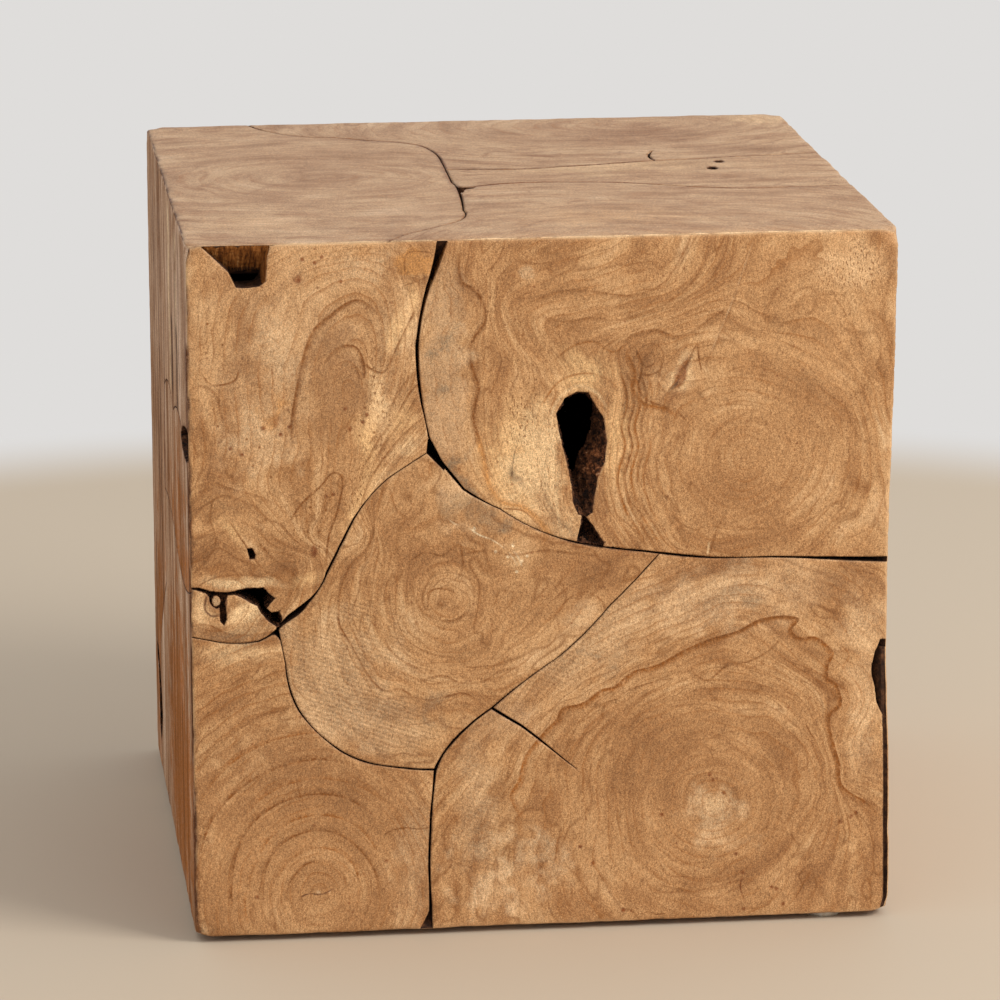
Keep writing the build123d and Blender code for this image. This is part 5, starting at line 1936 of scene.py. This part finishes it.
LOWER_LEFT = Figure(
    heart=(70, 24), seed=13, stretch=(1.06, 0.94), sway=0.75,
    patches=(
        Patch((70, 70), (90, 110), mark=Mark.CALM, strength=0.6, crisp=0.4),
        Patch((70, 25), (1.8, 1.6), Tint.WHITE, 0, 0.8),
        Patch((20, 50), (44, 70), Tint.HEART, 0, 0.55),
        Patch((76, 25), (1.6, 1.4), Tint.WHITE, 0, 0.7),
        Patch((66, 24), (2, 1.5), Tint.LINE, 0, 0.7),
        *dots(Tint.RED_BROWN, 1.8, (35, 23), (109, 41.5), (68, 64)),
        Patch((70, 70), (90, 90), Tint.HEART, 0, 0.6),
        Patch((60, 100), (90, 60), Tint.HEART_DARK, 0, 0.4),
        Patch((125, 45), (16, 60), Tint.PALE, -4, 0.5),
        Patch((25, 168), (36, 9), Tint.CREAM, 0, 0.55),
        Patch((4, 4), (9, 9), Tint.PALE, 0, 0.7),
        Patch((83, 106), (3, 1), Tint.LINE, 30, 0.7),
    ),
    streaks=(
        Streak(Tint.DEEP_BROWN, ((59, 22), (65, 24), (72, 23.5), (80, 27)), 0.7, 0.7, 0.85, 0.3),
        Streak(Tint.LINE, ((107, 57), (113, 60), (120, 61), (128, 60), (136, 61)), 0.8, 0.8, 0.6),
        # Late growth round the heart: arches that stand a little taller than wide
        *(Streak(tint, tuple((70 + reach * math.cos(turn) * (1 + 0.05 * math.sin(3 * turn + reach)),
                              24 + 1.13 * reach * math.sin(turn)) for turn in np.linspace(start, end, 12)),
                 0.8, width, strength, 0.9)
          for tint, reach, start, end, width, strength in (
              (Tint.LINE, 17, 0.1, 3.4, 1.6, 0.5), (Tint.LINE_ORANGE, 24, -0.4, 2.8, 2.0, 0.45),
              (Tint.LINE, 33, 0.0, 3.3, 2.2, 0.5), (Tint.LINE_ORANGE, 41, 0.4, 3.6, 2.2, 0.5),
              (Tint.LINE, 52, 0.9, 3.3, 2.6, 0.55), (Tint.LINE_ORANGE, 60, -0.3, 2.4, 2.4, 0.4),
              (Tint.LINE, 70, 1.2, 3.2, 3.0, 0.5), (Tint.LINE_ORANGE, 84, 1.1, 2.6, 3.0, 0.5),
              (Tint.LINE, 98, 1.4, 2.4, 3.0, 0.4))),
        Streak(Tint.LINE, ((58, 93), (59, 88), (61, 80)), 0.6, 0.8, 0.6),
    ),
)

# Lines that more than one slice follows: the seams of the top and the edge of the sapwood
BACK_SEAM = ((170, 223.5), (182, 222), (200, 219.5), (213, 219), (235, 223), (258, 227.5), (278, 233),
             (297, 237.5))
FRONT_SEAM = ((170, 160.5), (184, 166.5), (197, 171.5), (215, 173.3), (235, 171.8), (262, 167), (280, 160))
LEFT_SEAM = ((98, 347), (116, 343), (131, 333), (153, 320.5), (163.5, 307), (167.6, 290), (169.8, 262),
             (169, 223.5), (168, 180), (169.4, 160), (168.8, 148), (167, 120))

SAP_LINE = ((183, 50), (185, 65), (180, 77), (185, 87), (189, 101), (200, 115), (207, 122), (210, 128),
            (222, 131), (232, 138), (240, 140), (250, 148), (265, 152), (280, 160), (295, 166), (310, 170),
            (322, 176), (335, 178), (345, 176), (341, 170), (346, 165), (355, 165), (362, 160), (366, 155),
            (363, 148), (363, 140), (368, 137), (371, 125), (364, 117), (367, 100), (370, 90), (371, 78),
            (378, 71), (385, 67), (393, 59), (396, 50))

LOWER_RIGHT = Figure(
    heart=(298, 69), seed=17, sway=0.9,
    rings=(
        Ring(22, ((276, 69), (282, 85), (298, 91), (314, 85), (320, 69), (313, 53), (298, 47), (283, 53))),
        Ring(45, ((253, 69), (262, 100), (285, 113), (310, 112), (330, 98), (342, 75), (338, 50),
            (322, 34))),
        Ring(70, ((228, 60), (232, 95), (250, 122), (280, 135), (310, 140), (340, 130), (358, 105),
            (366, 75), (364, 45), (350, 15))),
        Ring(100, SAP_LINE[2:16] + SAP_LINE[27:]),
        Ring(125, ((160, 90), (178, 112), (200, 136), (230, 158), (265, 176), (300, 190))),
        Ring(45, ((256, 50), (270, 34), (292, 26))),
        Ring(70, ((226, 40), (236, 22), (256, 6))),
    ),
    patches=(
        Patch((290, 80), (90, 70), Tint.HEART, 20, 0.4, crisp=0.4),
        Patch((290, 70), (130, 100), mark=Mark.CALM, strength=0.5),
        Patch((385, 120), (22, 80), mark=Mark.CALM),
        Patch((298, 64), (25, 22), Tint.HEART_PALE, 0, 0.6, crisp=0.35, ragged=0.5),
        Patch((298, 69), (7, 6), Tint.CREAM, 0, 0.4),
        Patch((225, 165), (60, 24), Tint.PALE, 30, 0.55),
        Patch((180, 125), (26, 22), Tint.SAP, 40, 0.5),
        Patch((300, 190), (96, 26), Tint.SAP_PALE, 8, 0.55),
        Patch((385, 170), (20, 36), Tint.HEART_PALE, 0, 0.5),
        Patch((385, 120), (15, 50), Tint.HEART_PALE, 0, 0.55),
        Patch((160, 80), (14, 60), Tint.PALE, 0, 0.6),
        Patch((178, 32), (40, 26), Tint.SAP_PALE, 30, 0.75, ragged=0.8),
        Patch((215, 165), (60, 26), mark=Mark.SAWN, turn=30, strength=0.6, crisp=0.3),
        Patch((165, 60), (24, 60), mark=Mark.SAWN, strength=0.5, crisp=0.3),
        Patch((230, 160), (9, 11), Tint.GREY, 30, 0.65, ragged=0.9),
        Patch((238, 150), (7, 6), Tint.GREY, 0, 0.5),
        Patch((321, 186), (8, 5), Tint.GREY, 0, 0.7, ragged=0.9),
        Patch((310, 194), (12, 5), Tint.GREY, 10, 0.4),
        Patch((330, 160), (26, 12), Tint.HEART_LIGHT, 0, 0.4),
        Patch((320, 12), (50, 14), Tint.HEART, 0, 0.4),
        *dots(Tint.RED_BROWN, 1.9, (267, 63), (303, 75), (295, 86), (310, 38), (314, 27), (315, 5),
            (245, 7), (331, 17), (334, 16), (338, 7), (377, 58), (228, 36), (220, 46), (296, 83), (371, 55),
            (380, 60)),
    ),
    streaks=(
        Streak(Tint.LINE_ORANGE, SAP_LINE, 1.0, 4.2, 0.95, 0.3),
        Streak(Tint.LINE, SAP_LINE[4:], 0.6, 1.5, 0.75, 0.6),
        Streak(Tint.LINE, ((282, 150), (288, 144), (294, 142), (304, 150), (316, 152), (328, 158),
            (336, 166)), 0.9, 1.4, 0.5),
        Streak(Tint.LINE, ((214, 118), (224, 122), (236, 130), (248, 138), (262, 142), (276, 148)), 0.8,
            1.8, 0.4),
        Streak(Tint.RED_BROWN, ((314, 25), (313, 18), (316, 8)), 0.9, 0.9, 0.8),
        Streak(Tint.LINE, ((355, 105), (352, 110), (350, 114)), 0.8, 0.8, 0.7),
        Streak(Tint.LINE, ((255, 4), (260, 5.5), (264, 3.5), (270, 4)), 0.6, 0.6, 0.6),
        Streak(Tint.LINE, ((345, 10), (349, 18), (347, 24), (354, 31)), 0.6, 0.9, 0.5),
        Streak(Tint.LINE, ((352, 8), (357, 16), (355, 26)), 0.6, 0.9, 0.4),
        Streak(Tint.LINE_ORANGE, ((380, 122), (384, 130), (380, 138), (372, 146), (376, 154), (368, 162)),
            0.9, 1.4, 0.4),
    ),
)

NOTCH = Void((42.5, 372), (51, 401), Finish.FIBRE, 0.4, 0.15)
# The side of the widest part of the seam, which the light reaches
SEAM_SIDE = Void((124, 290), (152, 401), Finish.FIBRE, 0.15, 0.0)
# The mitred end of the top slab, which shows through the notch
# Deeper than this box the mitre keeps the near black seam wall, which paints the shade deep in the notch
NOTCH_ROOF = Void((2, 0.6), (52, 15.5), Finish.FIBRE, 0.8, 0.0)
POCKET = Void((6, 181), (54, 206), rough=1.0)
SMALL_HOLE = Void((30, 219), (39.5, 230), rough=0.5)
HOLE = Void((202, 219), (239, 314), rough=1.5)
CHIP = Void((388, 112), (401, 166), rough=0.5)
TOP_GAP = Void((165, 142), (183, 172), rough=0.5)
TOP_HOLES = (Void((322, 202), (332, 214), rough=0.4), Void((329, 225), (340, 236), rough=0.4))
LEFT_EDGE = Void((326, 266), (401, 297), rough=0.8)
LEFT_FOOT = Void((10, 8), (80, 82), rough=1.8)

FRONT_SLICES = (
    Slice("front_upper_left_slice", UPPER_LEFT, (NOTCH, SMALL_HOLE, POCKET)),
    Slice("front_upper_right_slice", UPPER_RIGHT, (HOLE, SEAM_SIDE)),
    Slice("front_centre_slice", CENTRE),
    Slice("front_left_wedge", WEDGE, (POCKET,)),
    Slice("front_lower_left_slice", LOWER_LEFT),
    Slice("front_lower_right_slice", LOWER_RIGHT, (CHIP,)),
)

TOP_SLICES = (
    Slice("top_left_slice", Figure(
        heart=(96, 205), seed=21, stretch=(0.8, 1.15), sway=1.3,
        patches=(
            Patch((110, 200), (150, 230), mark=Mark.CALM, strength=0.4, crisp=0.5),
            Patch((95, 200), (60, 60), Tint.HEART_DARK, 0, 0.3),
            Patch((60, 330), (60, 60), Tint.TOP_GREY, 0, 0.4),
            Patch((150, 90), (60, 40), Tint.TOP_GREY, 0, 0.4),
            Patch((205, 260), (14, 16), Tint.RED_BROWN, 0, 0.35),
            Patch((40, 60), (50, 50), Tint.PALE, 0, 0.3),
        ),
        streaks=(
            Streak(Tint.HEART_DARK, ((40, 150), (70, 190), (110, 205), (150, 190), (165, 160)), 1.0, 3.0,
                0.4),
            Streak(Tint.HEART_DARK, ((20, 120), (50, 130), (100, 120), (140, 128)), 1.0, 3.0, 0.35),
            Streak(Tint.HEART_DARK, ((70, 235), (100, 250), (140, 240), (180, 230)), 1.0, 3.0, 0.35),
            Streak(Tint.RED_BROWN, LEFT_SEAM, 2.4, 2.4, 0.85, 0.9),
            # A cream line along the front edge: partly wear, partly a painted highlight on the arris
            Streak(Tint.CREAM, ((56, 1), (100, 1.2), (140, 1)), 1.4, 1.4, 0.6, 1.2),
        )), (TOP_GAP, NOTCH_ROOF)),
    Slice("top_back_slice", Figure(
        heart=(300, 370), seed=22, stretch=(0.8, 1.3), sway=1.1,
        patches=(
            Patch((270, 340), (200, 90), mark=Mark.CALM, strength=0.3, crisp=0.5),
            Patch((300, 335), (85, 56), Tint.HEART_DARK, 0, 0.5, crisp=0.2),
            Patch((170, 370), (60, 40), Tint.TOP_GREY, 0, 0.4),
            Patch((380, 380), (26, 30), Tint.CREAM, 0, 0.35),
        ),
        streaks=(
            Streak(Tint.DEEP_BROWN, BACK_SEAM, 3.2, 3.2, 0.95, 0.5),
            Streak(Tint.HEART_DARK, ((225, 300), (250, 285), (300, 280), (350, 290), (380, 320)), 1.2, 3.0,
                0.4),
            Streak(Tint.HEART_DARK, ((250, 340), (280, 310), (320, 308), (350, 330)), 1.2, 3.0, 0.35),
            Streak(Tint.RED_BROWN, LEFT_SEAM[:8], 2.0, 2.0, 0.7, 1.0),
            Streak(Tint.HEART_DARK, ((195, 262), (205, 282), (222, 274), (240, 280)), 3.0, 3.0, 0.6),
        ))),
    Slice("top_middle_slice", Figure(
        heart=(330, 120), seed=23, stretch=(0.35, 1.6), sway=1.2,
        patches=(
            Patch((280, 220), (150, 80), mark=Mark.CALM, strength=0.35, crisp=0.5),
            Patch((270, 225), (110, 40), Tint.CREAM, 0, 0.35),
            Patch((310, 270), (14, 30), Tint.ORANGE, 0, 0.25),
            Patch((205, 255), (12, 14), Tint.RED_BROWN, 0, 0.3),
        ),
        streaks=(
            Streak(Tint.DEEP_BROWN, BACK_SEAM, 2.2, 2.2, 0.95, 0.5),
            Streak(Tint.RED_BROWN, FRONT_SEAM, 2.2, 2.2, 0.9, 0.6),
        )), (TOP_GAP, *TOP_HOLES)),
    Slice("top_front_slice", Figure(
        heart=(240, -20), seed=24, stretch=(0.8, 1.2), sway=1.2,
        patches=(
            Patch((250, 60), (200, 110), mark=Mark.CALM, strength=0.3, crisp=0.5),
            Patch((240, 60), (80, 50), Tint.HEART_LIGHT, 0, 0.4),
            Patch((350, 110), (60, 60), Tint.TOP_GREY, 0, 0.4),
            Patch((300, 8), (110, 14), Tint.ORANGE, 0, 0.22),
            Patch((180, 8), (80, 12), Tint.ORANGE, 0, 0.2),
        ),
        streaks=(
            Streak(Tint.HEART_DARK, ((150, 20), (180, 70), (230, 96), (280, 84), (312, 30)), 1.0, 3.0, 0.4),
            Streak(Tint.HEART_DARK, ((180, 10), (205, 50), (240, 62), (272, 50), (290, 10)), 1.0, 3.0,
                0.35),
            Streak(Tint.RED_BROWN, FRONT_SEAM, 2.2, 2.2, 0.9, 0.6),
            # A cream line along the front edge: partly wear, partly a painted highlight on the arris
            Streak(Tint.CREAM, ((10, 1), (120, 1.2), (230, 0.9), (330, 1.2), (392, 1)), 1.4, 1.4, 0.6, 1.2),
        )), (TOP_GAP,)),
)

# The left side's grey patches high up and brown ones low down are partly the wood's own colour and partly a
# painted sheen on its upper part
LEFT_SLICES = (
    Slice("left_back_slice", Figure(
        heart=(60, 200), seed=31, stretch=(1.3, 0.14), sway=0.9,
        patches=(
            Patch((90, 340), (110, 110), Tint.SIDE_GREY, 0, 0.35),
            Patch((155, 205), (26, 70), Tint.SIDE_BROWN, 0, 0.5),
            Patch((90, 60), (110, 150), Tint.SIDE_BROWN, 0, 0.95, crisp=0.3),
        ),
        streaks=(
            Streak(Tint.DEEP_BROWN, ((150, 200), (158, 240), (166, 275), (176, 325)), 9.0, 9.0, 0.85),
            Streak(Tint.BARK, ((36, 150), (30, 120), (26, 92), (28, 60)), 5.0, 5.0, 0.8, 0.3),
            Streak(Tint.SIDE_DARK, ((60, 390), (66, 330), (58, 260), (64, 200)), 6.0, 9.0, 0.6),
            Streak(Tint.SIDE_DARK, ((110, 330), (118, 250), (108, 160), (114, 60)), 5.0, 8.0, 0.6),
        )), (LEFT_FOOT,)),
    Slice("left_upper_slice", Figure(
        heart=(330, 330), seed=32, stretch=(1.3, 0.16), sway=0.9,
        patches=(
            Patch((310, 345), (140, 80), Tint.SIDE_GREY, 0, 0.45),
            Patch((388, 338), (10, 44), Tint.DEEP_BROWN, 0, 0.6),
            Patch((255, 274), (12, 6), Tint.DARK_GREY, 0, 0.7),
            Patch((292, 285), (10, 6), Tint.DARK_GREY, 0, 0.6),
        ),
        streaks=(
            Streak(Tint.LINE, ((250, 398), (246, 350), (252, 300), (248, 262)), 2.5, 4.0, 0.7),
            Streak(Tint.BARK, ((300, 338), (306, 318), (302, 298), (308, 284)), 10.0, 10.0, 1.0, 0.1),
            Streak(Tint.BARK, ((252, 334), (258, 315), (254, 298), (260, 286)), 10.0, 10.0, 1.0, 0.1),
            Streak(Tint.WHITE, ((232, 398), (236, 372), (230, 345), (236, 310), (232, 280)), 9.0, 9.0, 0.85,
                0.8),
            Streak(Tint.WHITE, ((300, 390), (304, 360), (300, 330)), 7.0, 7.0, 0.6, 0.8),
            Streak(Tint.SIDE_DARK, ((326, 398), (330, 366), (325, 330), (331, 300)), 6.0, 7.0, 0.7),
        )), (LEFT_EDGE,)),
    Slice("left_middle_slice", Figure(
        heart=(260, 180), seed=33, stretch=(1.3, 0.2), sway=0.9,
        patches=(Patch((300, 170), (160, 110), Tint.SIDE_BROWN, 0, 0.95, crisp=0.3),),
        streaks=(
            Streak(Tint.DEEP_BROWN, ((340, 262), (346, 220), (338, 170), (344, 130)), 2.5, 3.5, 0.6),
            Streak(Tint.RED_BROWN, ((391, 258), (393, 200), (390, 140)), 2.0, 3.0, 0.8),
            Streak(Tint.SIDE_DARK, ((260, 250), (254, 190), (262, 120)), 3.0, 5.0, 0.5),
        )), (LEFT_EDGE,)),
    Slice("left_lower_slice", Figure(
        heart=(300, 60), seed=34, stretch=(1.3, 0.2), sway=0.9,
        patches=(Patch((280, 70), (170, 130), Tint.SIDE_BROWN, 0, 0.95, crisp=0.4),),
        streaks=(
            Streak(Tint.SIDE_DARK, ((300, 120), (306, 70), (298, 10)), 3.0, 5.0, 0.5),
            Streak(Tint.RED_BROWN, ((391, 120), (393, 60), (391, 8)), 2.0, 3.0, 0.8),
        )), (LEFT_FOOT,)),
)


# The colours of the patches on a face that the photograph doesn't show, and its streaks with their widths
HIDDEN_TINTS = (Tint.HEART_DARK, Tint.PALE, Tint.HEART_LIGHT, Tint.HEART, Tint.GOLD, Tint.SAP, Tint.SAP_PALE)
HIDDEN_STREAKS = ((Tint.LINE_ORANGE, 3.4), (Tint.LINE, 2.2), (Tint.LINE, 1.6), (Tint.LINE_ORANGE, 1.6))


def hidden_slices(face: str, seed: int, sawn: float, *slices: tuple) -> tuple[Slice, ...]:
    """Draw the slices of a face that the photograph doesn't show, each from its own seed.

    Args:
        face: The face's name.
        seed: The seed of the first slice.
        sawn: How plainly the saw's rows show.
        slices: The name, heart and stretch of each slice.

    Returns:
        The slices.
    """
    made = []
    for i, (name, heart, stretch) in enumerate(slices):
        draw = np.random.default_rng(seed + i)
        middle = np.array(heart)
        patches = [Patch(heart, (130, 120), mark=Mark.CALM, strength=0.5, crisp=0.3),
                   Patch(heart, (200, 200), mark=Mark.SAWN, strength=sawn)]
        for tint in HIDDEN_TINTS:
            spot, reach = middle + draw.uniform(-100, 100, 2), draw.uniform(16, 64, 2)
            turn, strength = draw.uniform(-60, 60), draw.uniform(0.3, 0.6)
            patches.append(Patch(tuple(spot), tuple(reach), tint, turn, strength, ragged=0.6))
        patches += dots(Tint.RED_BROWN, 1.8, *map(tuple, middle + draw.uniform(-110, 110, (9, 2))))
        streaks = []
        for tint, width in HIDDEN_STREAKS:
            far, start, sweep = draw.uniform((30, 0, 1.4), (125, 6.2, 3.6))
            turns = start + np.linspace(0, sweep, 10)
            reach = far * (1 + 0.09 * draw.uniform(-1, 1, 10))
            points = middle + np.column_stack([reach * np.cos(turns), reach * np.sin(turns)]) / stretch
            streaks.append(Streak(tint, tuple(map(tuple, points)), 0.9, width, draw.uniform(0.5, 0.85)))
        figure = Figure(heart, streaks=tuple(streaks), patches=tuple(patches), stretch=stretch, seed=seed + i)
        made.append(Slice(f"{face}_{name}_slice", figure))
    return tuple(made)


RIGHT_SLICES = hidden_slices(
    "right", 41, 0.0,
    ("front_lower", (110, 80), (1, 1.2)), ("front_upper", (90, 300), (1.2, 0.9)),
    ("back_upper", (310, 290), (0.9, 1.1)), ("back_lower", (270, 100), (1.1, 0.9)),
    ("corner", (390, 60), (1.4, 0.6)))
BACK_SLICES = hidden_slices(
    "back", 51, 0.0,
    ("upper_left", (90, 310), (1.1, 0.9)), ("lower_left", (70, 110), (1, 1)),
    ("upper_right", (300, 330), (0.9, 1.2)), ("lower_middle", (220, 30), (1, 1)),
    ("centre", (270, 170), (1, 1.2)))
BOTTOM_SLICES = hidden_slices(
    "bottom", 61, 0.7,
    ("back_left", (70, 90), (1, 0.8)), ("front_left", (90, 300), (1, 0.8)),
    ("back_right", (290, 110), (1, 0.8)), ("front_right", (300, 310), (1, 0.8)))

# Bits keep this far inside the outer faces, in metres, so that none stands out of the cube
LITTER_DEPTH = 0.003
# Each slice with bark in it, and the name of the crumbs caught there
CRUMBS = (
    ("front_upper_right_slice", "hole_bark_crumbs"),
    ("front_left_wedge", "pocket_floor_bark_crumbs"),
    ("front_upper_left_slice", "pocket_roof_bark_crumbs"),
)
# The torn edge over the notch in metres: its left end, its step, how far it strays and how many places it has
TORN_EDGE = (-0.1765, -0.1853, 0.3892)
TORN_STEP = 0.0018
TORN_STRAY = 0.0006
TORN_PLACES = 12


def bark_of(piece: bpy.types.Object, name: str) -> bpy.types.Object:
    """Copy the bark faces that lie well inside a slice to an object of their own.

    Args:
        piece: The slice's piece.
        name: The name of the copy.

    Returns:
        The copy, which only carries crumbs.
    """
    low, high = CAD_BOX
    work = bmesh.new()
    work.from_mesh(piece.data)
    outside = []
    for face in work.faces:
        middle = face.calc_center_median()
        room = min(min(c - a, b - c) for c, a, b in zip(middle, low, high))
        if face.material_index != Finish.BARK.value or room < LITTER_DEPTH:
            outside.append(face)
    bmesh.ops.delete(work, geom=outside, context="FACES")
    mesh = bpy.data.meshes.new(name)
    work.to_mesh(mesh)
    work.free()
    host = bpy.data.objects.new(name, mesh)
    bpy.context.scene.collection.objects.link(host)
    return host


def scatter_litter(bark: bpy.types.Material, fibre: bpy.types.Material) -> None:
    """Scatter bark crumbs in the voids, and hang fibres along the torn edge over the notch.

    Args:
        bark: The finish of the crumbs.
        fibre: The finish of the fibres.
    """
    for node, name in CRUMBS:
        host = bark_of(bpy.data.objects[node + "_wood"], name + "_host")
        Litter(name, bark, "teak_front", 0.0019, (0.0003, 0.0003, 0.0003),
               (0.0011, 0.0008, 0.001)).scatter(host)
    mesh = bpy.data.meshes.new("torn_edge")
    left, front, height = TORN_EDGE
    row = [(left + TORN_STEP * i, front, height + TORN_STRAY * math.sin(2.3 * i)) for i in range(TORN_PLACES)]
    mesh.from_pydata(row, [(i, i + 1) for i in range(TORN_PLACES - 1)], [])
    host = bpy.data.objects.new("torn_edge", mesh)
    bpy.context.scene.collection.objects.link(host)
    Litter("notch_loose_fibres", fibre, "teak_top", 0.00055, (0.00012, 0.00012, 0.0014),
           (0.0003, 0.0003, 0.0042), 0.3, True).scatter(host)


def dress_slabs() -> None:
    """Build the six slabs, front first, and then what is loose in their voids."""
    walls = tuple(finish.build() for finish in (SEAM_WALL, INGROWN_BARK, TORN_FIBRE))
    woods = (
        RootWood("sanded teak root, front"),
        # The top's greyer tints are partly dust from sanding and partly a painted sheen
        RootWood("sanded teak root, top", Tint.TOP_DARK, Tint.TOP_GREY, Tint.TOP_LIGHT, Tint.TOP_PALE,
                 broad=15.0, roughness=0.5, ring=9.0, contrast=1.15),
        RootWood("sanded teak root, side", Tint.SIDE_DARK, Tint.SIDE_BODY, Tint.SIDE_LIGHT, Tint.SIDE_GREY,
                 broad=17.0, narrow=6.0, roughness=0.75, lean=0.0, line=2.4, run=240.0, ring=13.0,
                 contrast=1.5, shine=0.08),
        RootWood("sawn teak root, underside", roughness=0.7),
    )
    front, top, side, under = ((wood.build(), *walls) for wood in woods)
    low, high = (np.array(corner) / MM for corner in CAD_BOX)
    edge = high[0] - low[0]
    base = high[2] - edge
    half = edge / 2
    wear = Wear(edge, base)
    for slab in (
        Slab("teak_front", Panel((-half, -half, base), (1, 0, 0), (0, 0, 1)), FRONT_SLICES, front, wear, 2.0,
             mitre_stain=(2.1, 0.0, 0.0, 0.0)),
        Slab("teak_top", Panel((-half, -half, base + edge), (1, 0, 0), (0, 1, 0)), TOP_SLICES, top, wear, 2.4,
             seam_drop=0.8, seam_stain=1.8, mitre_stain=(2.0, 0.0, 0.0, 0.0)),
        Slab("teak_side", Panel((-half, half, base), (0, -1, 0), (0, 0, 1)), LEFT_SLICES, side, wear, 3.0,
             seam_drop=0.15, seam_stain=2.0, mitre_stain=(0.0, 12.0, 0.0, 1.6)),
        Slab("teak_side", Panel((half, -half, base), (0, 1, 0), (0, 0, 1)), RIGHT_SLICES, front, wear, 3.5),
        Slab("teak_side", Panel((half, half, base), (-1, 0, 0), (0, 0, 1)), BACK_SLICES, front, wear, 3.5),
        Slab("teak_underside", Panel((-half, half, base), (1, 0, 0), (0, -1, 0)), BOTTOM_SLICES, under, wear,
             5.0),
    ):
        slab.build()
    scatter_litter(walls[1], walls[2])


def main() -> None:
    """Build the cube's pieces in order."""
    logging.basicConfig(level=logging.INFO, format="%(message)s")
    Studio().build()
    dress_slabs()
    dress_leftovers()


if __name__ == "__main__":
    main()
